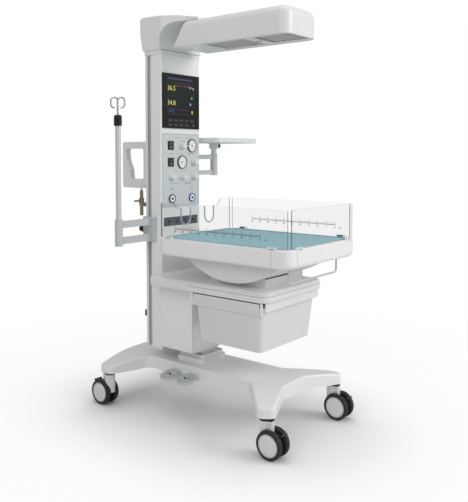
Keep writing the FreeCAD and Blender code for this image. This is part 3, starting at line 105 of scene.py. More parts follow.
def newMaterial(name):
    # a node tree of nothing but a principled shader and its output
    made = bpy.data.materials.new(name)
    made.use_nodes = True
    tree = made.node_tree
    tree.nodes.clear()
    shader = addNode(tree, "ShaderNodeBsdfPrincipled")
    addNode(tree, "ShaderNodeOutputMaterial", {}, {"Surface": (shader, "BSDF")})
    return made, tree, shader


def grained(name, hexCode, roughness, grainMm, bumpMm, vary=0.03, smudge=0.06, **extra):
    # base of every opaque finish: a slow colour drift, a smudged roughness and a fine bump; grainMm is the
    # real spacing of the surface's texture and bumpMm its depth
    made, tree, shader = newMaterial(name)
    place = (addNode(tree, "ShaderNodeTexCoord"), "Object")
    drift = addNode(tree, "ShaderNodeTexNoise", {"Scale": 4.5, "Detail": 3.0}, {"Vector": place})
    tone = addNode(tree, "ShaderNodeMapRange", {"To Min": 1 - vary, "To Max": 1 + vary},
                   {"Value": (drift, "Fac")})
    colour = addNode(tree, "ShaderNodeHueSaturation", {"Color": linear(hexCode)}, {"Value": (tone, "Result")})
    touch = addNode(tree, "ShaderNodeTexNoise", {"Scale": 17.0, "Detail": 4.0}, {"Vector": place})
    rough = addNode(tree, "ShaderNodeMapRange", {"To Min": roughness - smudge, "To Max": roughness + smudge},
                    {"Value": (touch, "Fac")})
    grain = addNode(tree, "ShaderNodeTexNoise", {"Scale": 1000 / grainMm, "Detail": 2.0}, {"Vector": place})
    bump = addNode(tree, "ShaderNodeBump", {"Strength": 0.35, "Distance": bumpMm / 1000},
                   {"Height": (grain, "Fac")})
    tree.links.new(colour.outputs["Color"], shader.inputs["Base Color"])
    tree.links.new(rough.outputs["Result"], shader.inputs["Roughness"])
    tree.links.new(bump.outputs["Normal"], shader.inputs["Normal"])
    for key, value in extra.items():
        shader.inputs[key.replace("_", " ")].default_value = value
    return made


def banded(made, axis, low, high, hexCode):
    # another colour between two metre marks along an axis of the piece's own frame
    tree = made.node_tree
    shader = next(item for item in tree.nodes if item.type == "BSDF_PRINCIPLED")
    source = shader.inputs["Base Color"].links[0].from_socket
    place = addNode(tree, "ShaderNodeTexCoord")
    parts = addNode(tree, "ShaderNodeSeparateXYZ", {}, {"Vector": (place, "Object")})
    within = addNode(tree, "ShaderNodeMath",
                     {"operation": "COMPARE", 1: (low + high) / 2, 2: (high - low) / 2}, {0: (parts, axis)})
    mixed = addNode(tree, "ShaderNodeMix", {"data_type": "RGBA", 7: linear(hexCode)},
                    {"Factor": (within, "Value")})
    tree.links.new(source, mixed.inputs[6])
    tree.links.new(mixed.outputs[2], shader.inputs["Base Color"])


# opaque finishes: colour, roughness, spacing of the grain and its depth in mm, and what else the shader sets
coats = {
    # powder coat on steel: a faint orange peel and soft highlights; peel drawn at 3 mm so that it shows
    "powderCoat": ("#E9EBEB", 0.34, 3.0, 0.05, {"IOR": 1.5, "Coat_Weight": 0.15}),
    "housingCoat": ("#F5F6F6", 0.34, 3.0, 0.05, {"IOR": 1.5, "Coat_Weight": 0.15}),
    "bracketCoat": ("#C9CCCE", 0.34, 3.0, 0.05, {"IOR": 1.5}),
    "plateCoat": ("#D2D5D5", 0.36, 2.0, 0.03, {"IOR": 1.5}),
    # painted aluminium casting of the base, slightly rougher from cleaning
    "paintedCasting": ("#F3F4F4", 0.36, 4.0, 0.08, {"IOR": 1.5, "Coat_Weight": 0.12}),
    # powder coated extrusion, with die lines too fine to see
    "coatedExtrusion": ("#F3F4F4", 0.33, 2.6, 0.04, {"IOR": 1.5}),
    # moulded ABS: a fine spark texture that dulls the highlight
    "mouldedAbs": ("#EAEBEA", 0.38, 1.8, 0.04, {"IOR": 1.53}),
    "drawerAbs": ("#E3E5E5", 0.42, 1.8, 0.05, {"IOR": 1.53}),
    "bedAbs": ("#F4F5F4", 0.36, 1.8, 0.04, {"IOR": 1.53}),
    "hoodFrame": ("#F0F1F0", 0.36, 1.8, 0.03, {"IOR": 1.5}),
    "knobWhite": ("#E6E8E8", 0.35, 1.4, 0.03, {"IOR": 1.53}),
    # pedal covers: grey plastic, darkened further to paint the shade that the base's side casts on them
    "pedalCoverShaded": ("#C9CCCE", 0.42, 2.0, 0.1, {"IOR": 1.53}),
    "connectorBand": ("#5B5F68", 0.4, 1.6, 0.03, {"IOR": 1.53}),
    "socketDark": ("#3E444C", 0.5, 1.6, 0.03, {"IOR": 1.53}),
    "casterGrey": ("#E6E8E9", 0.4, 1.6, 0.04, {"IOR": 1.53}),
    "casterHousing": ("#E6E8E9", 0.4, 1.6, 0.04, {"IOR": 1.53}),
    "bezelBlack": ("#17181A", 0.3, 1.6, 0.02, {"vary": 0.08, "IOR": 1.53, "Specular_IOR_Level": 0.25}),
    "bezelKey": ("#26282B", 0.4, 1.2, 0.02, {"IOR": 1.5}),
    # polyamide of brake levers, rings and clamp knobs
    "blackPolyamide": ("#1C1D1F", 0.48, 1.2, 0.05, {"vary": 0.12, "IOR": 1.53}),
    "tyreRubber": ("#232426", 0.55, 1.5, 0.06, {"vary": 0.15, "IOR": 1.5}),
    "trimGrey": ("#B3B8BA", 0.45, 1.0, 0.01, {"IOR": 1.4}),
    # shadow in a joint
    "seamDark": ("#4A4D50", 0.5, 1.0, 0.01, {"IOR": 1.4}),
    # tube under a light metallic lacquer
    "poleCoat": ("#DDE0E2", 0.3, 0.9, 0.01, {"Metallic": 0.3}),
    "railCoat": ("#D9DCDE", 0.3, 0.9, 0.01, {"Metallic": 0.35}),
    # turned brass, bare or under dulled nickel
    "turnedBrass": ("#B58A45", 0.32, 0.9, 0.02, {"vary": 0.06, "Metallic": 1.0}),
    "nickelledBrass": ("#A69C8E", 0.3, 0.9, 0.02, {"vary": 0.06, "Metallic": 0.8}),
    # steel tube and wire, satin polished
    "satinSteel": ("#C9CCCE", 0.28, 0.9, 0.01, {"Metallic": 1.0}),
    "screwSteel": ("#9FA3A6", 0.3, 0.8, 0.01, {"Metallic": 0.9}),
    # reflector troughs in the shade of the hood
    "darkReflector": ("#3B3D40", 0.32, 1.4, 0.02, {"Metallic": 0.6}),
    # frosted glass of the lamp, unlit
    "quartzTube": ("#D8D0C4", 0.25, 1.0, 0.02, {"IOR": 1.46}),
    # inks and enamelled dials, flat and even
    "printBlack": ("#2E3135", 0.45, 1.0, 0.01, {"IOR": 1.5}),
    "printGrey": ("#8B9196", 0.45, 1.0, 0.01, {"IOR": 1.5}),
    "rulerPrint": ("#50565A", 0.5, 1.0, 0.01, {"IOR": 1.4}),
    "dialWhite": ("#F2F3F1", 0.4, 1.2, 0.01, {"IOR": 1.5}),
    "dialBlue": ("#2C3F92", 0.4, 1.2, 0.01, {"IOR": 1.5}),
    "dialRed": ("#B23A34", 0.4, 1.2, 0.01, {"IOR": 1.5}),
}
# parts of one moulding or tube in another colour: finish, axis, from, to, colour
bands = (
    ("coatedExtrusion", "Y", 0.33575, 0.35875, "#B9BBBD"),  # shade in the side grooves
    ("casterHousing", "Z", 0.1550, 0.21, "#1C1D1F"),  # ring under the leg
    ("casterHousing", "Z", -0.01, 0.0652, "#1E1F21"),  # fork below the neck
    ("poleCoat", "Z", 1.3995, 1.6, "#1D1E20"),  # cap at the top of the tube
)
# lit parts of the screen: colour and strength
glows = {
    "screenBlack": ("#05070B", 1.0),
    "screenPanel": ("#3A4660", 0.8),
    "screenGreen": ("#4FC06A", 0.8),
    "screenYellow": ("#D6D25A", 1.0),
    "screenRed": ("#B0475A", 0.8),
    "screenCyan": ("#6FB8C8", 0.9),
    "screenWhite": ("#B9BDC2", 0.8),
    "screenGreenDim": ("#22492E", 0.8),
    "screenCyanDim": ("#1D3A55", 0.9),
    "screenWine": ("#2E1430", 0.9),
    "screenBrown": ("#3A2418", 0.9),
    "screenNavy": ("#222C4E", 0.9),
    "screenBlue": ("#4C62A6", 0.9),
}
# clear sheets: the axis of the thickness, and its two faces in metres; the head panel has no clips
sheets = {
    "acrylicNear": ("X", -0.3407, -0.3347),
    "acrylicFar": ("X", 0.1913, 0.1973),
    "acrylicFoot": ("Y", -0.57625, -0.57025),
    "acrylicHead": ("Y", -1.0, 1.0),
}
acrylic = {
    # painted light on the sheets: the shaded colour of upright edges and faint faces, and the lit colour of
    # edges facing up or down
    "uprightEdgeShade": "#3E4548",
    "upDownEdgeLight": "#8F989B",
    "clip": "#E6E8E8",
    "face": 0.035,  # share that a face hides of what is behind it
    "edge": 0.62,
    "clearance": 0.0003,  # metres past the faces that still count as sheet
}
vinyl = {
    "colour": "#97CBD5",
    "weaveMm": 2.4,
    "weaveDeep": 0.0002,
}


def makeAcrylic(name, facing, low, high):
    # clear cast acrylic: wide faces see-through with a weak reflection, sawn edges greyer, with painted light
    # on them:
    # lighter where an edge faces up or down, darker where it stands upright; facing is the sheet's own
    # thickness axis, so the edges stay edges when the panel folds
    size = acrylic
    made, tree, shader = newMaterial(name)
    place = addNode(tree, "ShaderNodeTexCoord")
    haze = addNode(tree, "ShaderNodeTexNoise", {"Scale": 9.0, "Detail": 5.0}, {"Vector": (place, "Object")})
    rough = addNode(tree, "ShaderNodeMapRange", {"To Min": 0.02, "To Max": 0.09}, {"Value": (haze, "Fac")})
    parts = addNode(tree, "ShaderNodeSeparateXYZ", {}, {"Vector": (place, "Normal")})
    square = addNode(tree, "ShaderNodeMath", {"operation": "ABSOLUTE"}, {0: (parts, facing)})
    edge = addNode(tree, "ShaderNodeMapRange",
                   {"From Min": 0.75, "From Max": 0.45, "To Min": size["face"], "To Max": size["edge"]},
                   {"Value": (square, "Value")})
    # painted light: edges facing up or down take the lighter colour, upright edges and faces the darker
    level = addNode(tree, "ShaderNodeMath", {"operation": "ABSOLUTE"}, {0: (parts, "Z")})
    tone = addNode(tree, "ShaderNodeMix", {"data_type": "RGBA", 6: linear(size["uprightEdgeShade"]),
                                           7: linear(size["upDownEdgeLight"])}, {0: (level, "Value")})
    # what lies outside the sheet's two faces is a hinge clip of white plastic
    spot = addNode(tree, "ShaderNodeSeparateXYZ", {}, {"Vector": (place, "Object")})
    sheet = addNode(tree, "ShaderNodeMath", {"operation": "COMPARE", 1: (low + high) / 2,
                                             2: (high - low) / 2 + size["clearance"]}, {0: (spot, facing)})
    strip = addNode(tree, "ShaderNodeMath", {"operation": "SUBTRACT", 0: 1.0}, {1: (sheet, "Value")})
    mixed = addNode(tree, "ShaderNodeMix", {"data_type": "RGBA", 7: linear(size["clip"])},
                    {"Factor": (strip, "Value"), 6: (tone, 2)})
    solid = addNode(tree, "ShaderNodeMath", {"operation": "MAXIMUM"},
                    {0: (edge, "Result"), 1: (strip, "Value")})
    tree.links.new(mixed.outputs[2], shader.inputs["Base Color"])
    tree.links.new(solid.outputs["Value"], shader.inputs["Alpha"])
    tree.links.new(rough.outputs["Result"], shader.inputs["Roughness"])
    shader.inputs["IOR"].default_value = 1.3
    made.surface_render_method = "BLENDED"
    return made


def makeMattressVinyl():
    # coated teal fabric: a fine weave pressed through a matt film, drawn coarser than it is so that it shows
    size = vinyl
    made, tree, shader = newMaterial("mattressVinyl")
    place = (addNode(tree, "ShaderNodeTexCoord"), "Object")
    drift = addNode(tree, "ShaderNodeTexNoise", {"Scale": 6.0, "Detail": 3.0}, {"Vector": place})
    tone = addNode(tree, "ShaderNodeMapRange", {"To Min": 0.95, "To Max": 1.04}, {"Value": (drift, "Fac")})
    colour = addNode(tree, "ShaderNodeHueSaturation", {"Color": linear(size["colour"])},
                     {"Value": (tone, "Result")})
    scale = 1000 / size["weaveMm"] / 6.283 * 2
    warp, weft = (addNode(tree, "ShaderNodeTexWave", {"bands_direction": axis, "Scale": scale},
                          {"Vector": place}) for axis in "XY")
    cross = addNode(tree, "ShaderNodeMath", {"operation": "MULTIPLY"}, {0: (warp, "Fac"), 1: (weft, "Fac")})
    bump = addNode(tree, "ShaderNodeBump", {"Strength": 0.3, "Distance": size["weaveDeep"]},
                   {"Height": (cross, "Value")})
    tree.links.new(colour.outputs["Color"], shader.inputs["Base Color"])
    tree.links.new(bump.outputs["Normal"], shader.inputs["Normal"])
    shader.inputs["Roughness"].default_value = 0.52
    shader.inputs["Sheen Weight"].default_value = 0.15
    return made


def makeGlow(name, hexCode, strength):
    # a lit part of the screen, over black glass
    made, tree, shader = newMaterial(name)
    shader.inputs["Base Color"].default_value = linear("#050607")
    shader.inputs["Roughness"].default_value = 0.25
    shader.inputs["Emission Color"].default_value = linear(hexCode)
    shader.inputs["Emission Strength"].default_value = strength
    return made


finish = {}
for key, (hexCode, roughness, grainMm, bumpMm, more) in coats.items():
    finish[key] = grained(key, hexCode, roughness, grainMm, bumpMm, **more)
for key, axis, low, high, hexCode in bands:
    banded(finish[key], axis, low, high, hexCode)
for key, (facing, low, high) in sheets.items():
    finish[key] = makeAcrylic(key, facing, low, high)
for key, (hexCode, strength) in glows.items():
    finish[key] = makeGlow(key, hexCode, strength)
finish["mattressVinyl"] = makeMattressVinyl()
print("materials made:", len(finish))

cornerNames = ("front_near", "front_far", "rear_near", "rear_far")
# which finish each CAD node wears
worn = {
    "paintedCasting": "base_casting pedestal_skirt",
    "housingCoat": "lift_housing",
    "plateCoat": "control_plate",
    "bedAbs": "bed_tray",
    "powderCoat": "lift_outer_tube tilt_cradle tray rear_handle drawer_runners",
    "bracketCoat": "pole_bracket tray_bracket",
    "coatedExtrusion": "column_profile",
    "mouldedAbs": "shelf_slab column_foot column_collar tilt_rocker neck_cover hood_shell",
    "drawerAbs": "drawer_tub",
    "satinSteel": "lift_inner_tube drip_hooks",
    "poleCoat": "drip_pole",
    "railCoat": "foot_rail",
    "bezelBlack": "display_unit",
    "connectorBand": "connector_strip",
    "nickelledBrass": "gas_inlet",
    "knobWhite": "oxygen_knob suction_knob flow_knob_left flow_knob_middle flow_knob_right",
    "pedalCoverShaded": "raise_pedal lower_pedal",
    "mattressVinyl": "mattress",
    "acrylicNear": "near_panel",
    "acrylicFar": "far_panel",
    "acrylicFoot": "foot_panel",
    "acrylicHead": "head_panel",
    "hoodFrame": "hood_grilles",
    "darkReflector": "heater_module",
    "quartzTube": "exam_lamp",
    "blackPolyamide": "pressure_gauges power_switch suction_switch power_inlet"
                      " pole_clamp_knob tray_clamp_knob",
}
casterWorn = {"housing": "casterHousing", "wheels": "tyreRubber", "brake": "blackPolyamide"}


def dress(name, key):
    slots = nodes[name].data.materials
    slots.clear()
    slots.append(finish[key])


for key, names in worn.items():
    for name in names.split():
        dress(name, key)
for corner in cornerNames:
    for part, key in casterWorn.items():
        dress("caster_%s_%s" % (corner, part), key)
print("CAD nodes dressed")


studio = {
    "floorSize": 60.0,
    "floorTone": "#E6E6E6",
    "floorLift": 0.94,  # share of plain white on the open floor
    "fadeStart": 1.15,  # metres from the part's middle to where the floor turns white
    "fadeEnd": 2.6,
    "shadeReach": 0.75,  # metres over which the part darkens the floor under it
    "shadePower": 4.0,
    "shadeTowards": (-0.1, 0.1, 1.0),  # the side the floor's shade is cast from
    "ambient": 0.35,
    "aim": (0.0, 0.0, 0.9),
}
lamps = {
    "key": {"place": (2.2, -5.0, 3.4), "size": 3.2, "watts": 165},
    "fill": {"place": (-4.5, -1.2, 3.6), "size": 3.0, "watts": 60},
    "top": {"place": (-0.3, 0.2, 5.2), "size": 3.5, "watts": 45},
}


def seenDirectly(tree):
    # 1 for what the camera sees, also through glass, and 0 for light that bounces
    ray = addNode(tree, "ShaderNodeLightPath")
    return addNode(tree, "ShaderNodeMath", {"operation": "MAXIMUM"},
                   {0: (ray, "Is Camera Ray"), 1: (ray, "Is Transmission Ray")})


def makeWorld():
    # white to the camera and through glass; a plain grey level for everything else
    world = bpy.data.worlds.new("studioWorld")
    bpy.context.scene.world = world
    world.use_nodes = True
    tree = world.node_tree
    tree.nodes.clear()
    level = addNode(tree, "ShaderNodeBackground", {"Color": (1, 1, 1, 1), "Strength": studio["ambient"]})
    white = addNode(tree, "ShaderNodeBackground", {"Color": (1, 1, 1, 1), "Strength": 1.0})
    seen = seenDirectly(tree)
    mixed = addNode(tree, "ShaderNodeMixShader", {},
                    {"Fac": (seen, "Value"), 1: (level, "Background"), 2: (white, "Background")})
    addNode(tree, "ShaderNodeOutputWorld", {}, {"Surface": (mixed, "Shader")})


def makeFloor():
    # a pale floor that keeps the shadow near the part and turns plain white further out
    size = studio["floorSize"]
    corners = [(-size, -size, 0), (size, -size, 0), (size, size, 0), (-size, size, 0)]
    mesh = bpy.data.meshes.new("floor")
    mesh.from_pydata(corners, [], [(0, 1, 2, 3)])
    floor = bpy.data.objects.new("floor", mesh)
    bpy.context.scene.collection.objects.link(floor)
    made, tree, shader = newMaterial("studioFloor")
    shader.inputs["Base Color"].default_value = linear(studio["floorTone"])
    shader.inputs["Roughness"].default_value = 0.9
    shader.inputs["Specular IOR Level"].default_value = 0.1
    white = addNode(tree, "ShaderNodeEmission", {"Color": (1, 1, 1, 1), "Strength": 1.0})
    place = addNode(tree, "ShaderNodeTexCoord")
    far = addNode(tree, "ShaderNodeVectorMath", {"operation": "LENGTH"}, {"Vector": (place, "Object")})
    fade = addNode(tree, "ShaderNodeMapRange",
                   {"interpolation_type": "SMOOTHSTEP", "From Min": studio["fadeStart"],
                    "From Max": studio["fadeEnd"], "To Min": studio["floorLift"]}, {"Value": (far, "Value")})
    # near the part the white gives way to the lit floor, so that its shadow shows
    shade = addNode(tree, "ShaderNodeAmbientOcclusion",
                    {"samples": 12, "Distance": studio["shadeReach"], "Normal": studio["shadeTowards"]})
    power = addNode(tree, "ShaderNodeMath", {"operation": "POWER", 1: studio["shadePower"]},
                    {0: (shade, "AO")})
    share = addNode(tree, "ShaderNodeMath", {"operation": "MULTIPLY"},
                    {0: (fade, "Result"), 1: (seenDirectly(tree), "Value")})
    lifted = addNode(tree, "ShaderNodeMath", {"operation": "MULTIPLY"},
                     {0: (share, "Value"), 1: (power, "Value")})
    mixed = addNode(tree, "ShaderNodeMixShader", {},
                    {"Fac": (lifted, "Value"), 1: (shader, "BSDF"), 2: (white, "Emission")})
    out = next(item for item in tree.nodes if item.type == "OUTPUT_MATERIAL")
    tree.links.new(mixed.outputs["Shader"], out.inputs["Surface"])
    floor.data.materials.append(made)


def makeLamp(name):
    lamp = bpy.data.lights.new(name, "AREA")
    lamp.shape = "DISK"
    lamp.size = lamps[name]["size"]
    lamp.energy = lamps[name]["watts"]
    item = bpy.data.objects.new(name, lamp)
    item.location = lamps[name]["place"]
    item.rotation_euler = (Vector(studio["aim"]) - item.location).to_track_quat("-Z", "Y").to_euler()
    bpy.context.scene.collection.objects.link(item)


makeWorld()
makeFloor()
for lampName in lamps:
    makeLamp(lampName)
bpy.context.scene.view_settings.view_transform = "Standard"
print("stage set")


def gridFaces(rows, columns, closeRows=False, closeColumns=False):
    # quads between neighbours of a rows x columns grid of points, wrapping where asked
    i = np.arange(rows if closeRows else rows - 1)
    j = np.arange(columns if closeColumns else columns - 1)
    i, j = (a.ravel() for a in np.meshgrid(i, j, indexing="ij"))
    nextI, nextJ = (i + 1) % rows, (j + 1) % columns
    return np.stack([i * columns + j, i * columns + nextJ, nextI * columns + nextJ, nextI * columns + j], 1)


def join(*parts):
    # several (points, faces) made one, faces renumbered
    points, faces, start = [], [], 0
    for some, theirs in parts:
        points.append(np.asarray(some, float).reshape(-1, 3))
        faces += [[int(k) + start for k in face] for face in theirs]
        start += len(points[-1])
    return np.concatenate(points), faces


def lofted(rings, capStart=True, capEnd=True):
    # closed rings of points, one after another, skinned and capped
    rings = np.asarray(rings, float)
    count, around = rings.shape[:2]
    faces = gridFaces(count, around, closeColumns=True).tolist()
    if capStart:
        faces.append(list(range(around))[::-1])
    if capEnd:
        faces.append(list(range((count - 1) * around, count * around)))
    return rings.reshape(-1, 3), faces


def ringed(rings):
    # closed rings of points skinned in a circle, the last to the first
    rings = np.asarray(rings, float)
    return rings.reshape(-1, 3), gridFaces(*rings.shape[:2], True, True).tolist()


def turned(profile, centre, axis="x", steps=64, hollow=False):
    # a profile of (radius, height) turned about an axis through centre; hollow joins its two ends
    profile = np.asarray(profile, float)
    angle = np.linspace(0, 2 * np.pi, steps, endpoint=False)
    radius = np.maximum(profile[:, :1], 1e-5)
    a, b = radius * np.cos(angle), radius * np.sin(angle)
    along = np.repeat(profile[:, 1:], steps, 1)
    order = {"x": (along, a, b), "y": (b, along, a), "z": (a, b, along)}[axis]
    rings = np.stack(order, -1) + np.asarray(centre, float)
    if hollow:
        return ringed(rings)
    return lofted(rings)


def roundedOutline(wide, tall, radius, cornerSteps=8):
    # a rectangle about 0,0 with quarter-circle corners, counterclockwise
    radius = min(radius, wide / 2 - 1e-6, tall / 2 - 1e-6)
    bend = np.linspace(0, np.pi / 2, cornerSteps)
    corners = []
    for k, (sx, sy) in enumerate(((1, 1), (-1, 1), (-1, -1), (1, -1))):
        turn = bend + k * np.pi / 2
        corners.append(np.stack([sx * (wide / 2 - radius) + radius * np.cos(turn),
                                 sy * (tall / 2 - radius) + radius * np.sin(turn)], 1))
    return np.concatenate(corners)


def facing(points, normal):
    # points given as (across, up, out) laid on a face of that normal
    u, v, w = np.moveaxis(np.asarray(points), -1, 0)
    return np.stack({"-y": (u, -w, v), "-x": (-w, -u, v)}[normal], -1)


def tile(wide, tall, radius, deep, edge, centre, normal="-y", cornerSteps=8, edgeSteps=4):
    # a plate with rounded corners whose front edge is rounded by edge; it grows from centre along normal
    bend = np.linspace(0, np.pi / 2, edgeSteps)
    rings = [(0.0, 0.0)] + [(edge * (1 - np.cos(b)), deep - edge + edge * np.sin(b)) for b in bend]
    made = []
    for inset, height in rings:
        flat = roundedOutline(wide - 2 * inset, tall - 2 * inset, max(radius - inset, 1e-4), cornerSteps)
        made.append(np.column_stack([flat, np.full(len(flat), height)]))
    made = np.array(made)
    return lofted(facing(made, normal) + np.asarray(centre, float))


def swept(path, radius, sides=16, ends=True):
    # a round section carried along a path, turned with it without twisting
    path = np.asarray(path, float)
    radius = np.broadcast_to(radius, len(path))
    tangent = np.gradient(path, axis=0)
    tangent /= np.linalg.norm(tangent, axis=1, keepdims=True)
    start = np.cross(tangent[0], (0, 0, 1))
    if np.linalg.norm(start) < 1e-3:
        start = np.cross(tangent[0], (1, 0, 0))
    frames = [start / np.linalg.norm(start)]
    for along in tangent[1:]:
        side = frames[-1] - along * (frames[-1] @ along)
        frames.append(side / np.linalg.norm(side))
    frames = np.array(frames)
    other = np.cross(tangent, frames)
    angle = np.linspace(0, 2 * np.pi, sides, endpoint=False)
    circle = frames[:, None] * np.cos(angle)[:, None] + other[:, None] * np.sin(angle)[:, None]
    return lofted(path[:, None] + circle * radius[:, None, None], ends, ends)


def addPiece(name, shape, key, body, smoothDegrees=35, instead=()):
    # one mesh object in place, with its finish, riding on its body
    points, faces = shape
    mesh = bpy.data.meshes.new(name)
    mesh.from_pydata(np.asarray(points).tolist(), [], [list(map(int, face)) for face in faces])
    mesh.update()
    item = bpy.data.objects.new(name, mesh)
    bpy.context.scene.collection.objects.link(item)
    mesh.materials.append(finish[key])
    outwards(mesh)
    if smoothDegrees:
        mesh.shade_smooth()
        mesh.set_sharp_from_angle(angle=math.radians(smoothDegrees))
    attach(item, body)
    if instead:
        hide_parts(*instead)
    return item


def outwards(mesh):
    # faces of closed shapes all turned outwards
    work = bmesh.new()
    work.from_mesh(mesh)
    bmesh.ops.recalc_face_normals(work, faces=work.faces)
    work.to_mesh(mesh)
    work.free()


def letters(text, tall, place, normal="-y", thick=0.0003):
    # short plain figures as a mesh (points, faces), standing on a face
    curve = bpy.data.curves.new("figures", "FONT")
    curve.body = text
    curve.size = tall
    curve.align_x = "CENTER"
    curve.align_y = "CENTER"
    curve.extrude = thick / 2
    curve.resolution_u = 2
    item = bpy.data.objects.new("figures", curve)
    bpy.context.scene.collection.objects.link(item)
    bpy.context.view_layer.update()
    mesh = bpy.data.meshes.new_from_object(item.evaluated_get(bpy.context.evaluated_depsgraph_get()))
    flat = np.empty(len(mesh.vertices) * 3)
    mesh.vertices.foreach_get("co", flat)
    flat = flat.reshape(-1, 3)
    faces = [list(face.vertices) for face in mesh.polygons]
    bpy.data.objects.remove(item)
    bpy.data.meshes.remove(mesh)
    bpy.data.curves.remove(curve)
    return facing(flat, normal) + np.asarray(place, float), faces


print("shape tools ready")

caster = {
    "treadRadius": 0.0625,
    "treadWidth": 0.024,
    "rimRadius": 0.0505,
    "spread": 0.027,  # from the middle to each wheel
    "crown": 0.0018,
    "shoulder": 0.004,  # how far the tread falls off at its edges
    "groove": 0.0012,
    "bead": 0.002,  # the tyre's step over the rim
    "discDome": 0.0026,
    "discLip": 0.0007,
    "discRing": 0.0009,
    "discBack": 0.004,
    "gap": 0.0002,
    "steps": 72,
}


def wheelParts(centre, side):
    # tyre profile: two side walls, and a tread crowned by a parabola, grooved each side of its middle
    size = caster
    rim, bead = size["rimRadius"], size["bead"]
    half = size["treadWidth"] / 2
    middle = side * size["spread"]
    across = np.linspace(-1, 1, 25)
    tread = size["treadRadius"] - size["crown"] * across ** 2 - size["shoulder"] * np.abs(across) ** 9
    tread -= size["groove"] * np.exp(-((np.abs(across) - 0.45) / 0.07) ** 2)
    tyre = [(rim - bead / 2, -half + bead / 4), (rim + bead, -half)]
    tyre += [(r, a * half) for r, a in zip(tread, across)]
    tyre += [(rim + bead, half), (rim - bead / 2, half - bead / 4)]
    tyre = turned([(r, middle + h) for r, h in tyre], centre, "x", size["steps"])
    # cover disc: flat with a slight dome, a rounded lip, and a shallow ring near the hub; height by radius
    face = middle + side * (half - 0.0012)
    radius = np.linspace(0, rim - size["gap"], 26)
    share = radius / rim
    height = size["discDome"] * (1 - share ** 2) + size["discLip"] * np.exp(-((share - 0.93) / 0.03) ** 2)
    height -= size["discRing"] * np.exp(-((share - 0.3) / 0.03) ** 2)
    disc = [(r, face + side * h) for r, h in zip(radius, height)]
    disc += [(rim - size["gap"], face - side * size["discBack"]), (0.0, face - side * size["discBack"])]
    disc = turned(disc, centre, "x", size["steps"])
    # inner web: a dark dish about the hub; radius by depth
    inner = middle - side * (half - 0.001)
    web = [(0.007, inner - side * 0.001), (0.012, inner - side * 0.001), (0.014, inner + side * 0.002),
           (0.040, inner + side * 0.004), (0.047, inner), (0.0503, inner), (0.0503, inner + side * 0.006),
           (0.007, inner + side * 0.006)]
    return tyre, disc, turned(web, centre, "x", 48)


def makeCasters():
    for corner in cornerNames:
        body = "caster_%s_wheels" % corner
        low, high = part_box(body)
        centre = (np.array(low) + np.array(high)) / 2
        near, far = wheelParts(centre, -1), wheelParts(centre, 1)
        addPiece(body + "_tyres", join(near[0], far[0]), "tyreRubber", body, instead=[body])
        addPiece(body + "_covers", join(near[1], far[1]), "casterGrey", body)
        addPiece(body + "_webs", join(near[2], far[2]), "blackPolyamide", body)


makeCasters()
print("casters done")

mattress = {
    "crown": 0.004,  # middle stands above the edge
    "edgeRound": 0.012,
    "cornerRadius": 0.034,
    "quiltDeep": 0.0009,
    "pipe": 0.0022,  # radius of the welt along the upper edge
    "rim": 0.874,  # top of the bed tray, which carries the flange
    "flange": 0.006,  # reach past the pad
}


def makeMattress():
    # rings of a rounded rectangle from the underside up and over the edge; the side bulges as half an ellipse
    # and the top is crowned by (1 - u^4)(1 - v^4), with shallow sewn channels along the bed
    low, high = (np.array(corner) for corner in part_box("mattress"))
    size = mattress
    wide, long, deep = high - low
    middle = (low + high) / 2
    bend = np.linspace(-np.pi / 2, np.pi / 2, 15)
    r = size["edgeRound"]
    rings = []
    for inset in np.linspace(0.10, 0.012, 10):
        rings.append((inset, 0.0))
    half = deep / 2 - size["crown"] / 2
    for angle in bend:
        rings.append((r * (1 - np.cos(angle)), half + half * np.sin(angle)))
    for inset in np.linspace(0.014, 0.24, 26):
        rings.append((inset, 2 * half))
    made = []
    for inset, height in rings:
        corner = max(size["cornerRadius"] - inset * 0.3, 0.01)
        outline = roundedOutline(wide - 2 * inset, long - 2 * inset, corner, 12)
        u, v = outline[:, 0] / (wide / 2), outline[:, 1] / (long / 2)
        rise = size["crown"] * (1 - u ** 4) * (1 - v ** 4) * (height > half)
        quilt = -size["quiltDeep"] * (np.cos(u * 5.0) ** 8) * (height > half * 1.6) * (1 - u ** 8)
        made.append(np.column_stack([outline, height + rise + quilt]))
    points, faces = lofted(np.array(made) + np.array([middle[0], middle[1], low[2]]))
    pad = addPiece("mattressPad", (points, faces), "mattressVinyl", "bed", 60, ["mattress"])
    # welt: a round cord sewn along the upper edge
    edge = roundedOutline(wide - 0.004, long - 0.004, size["cornerRadius"], 16)
    edge = np.vstack([edge, edge[:1]])
    height = low[2] + 1.72 * half
    route = np.column_stack([edge + middle[:2], np.full(len(edge), height)])
    addPiece("mattressWelt", swept(route, size["pipe"], 10, False), "mattressVinyl", "bed")
    # the cover's flange, which lies on the rim up to the panels
    reach = size["flange"]
    rings = []
    section = ((-reach, 0.0001), (reach, 0.0001), (reach + 0.0002, 0.0012), (0.0, 0.0026), (-reach, 0.0028))
    for grow, height in section:
        outline = roundedOutline(wide + 2 * grow, long + 2 * grow, size["cornerRadius"], 12)
        rings.append(np.column_stack([outline + middle[:2], np.full(len(outline), size["rim"] + height)]))
    addPiece("mattressFlange", ringed(rings), "mattressVinyl", "bed")


makeMattress()
print("bed done")

rulers = {
    "far": {"x": 262.6, "first": -118.0, "last": -608.0, "z": 930.0},
    "near": {"x": -269.4, "first": -71.0, "last": -559.0, "z": 919.3},
    "marks": 10,  # numbered steps of 50 mm
    "parts": 5,  # ticks to a step
    "longTick": (16.0, 1.1),  # height and half width
    "shortTick": (10.0, 0.7),
    "figures": 15.0,
    "figureDrop": 10.0,
    "line": 2.4,
    "proud": 0.15,
}


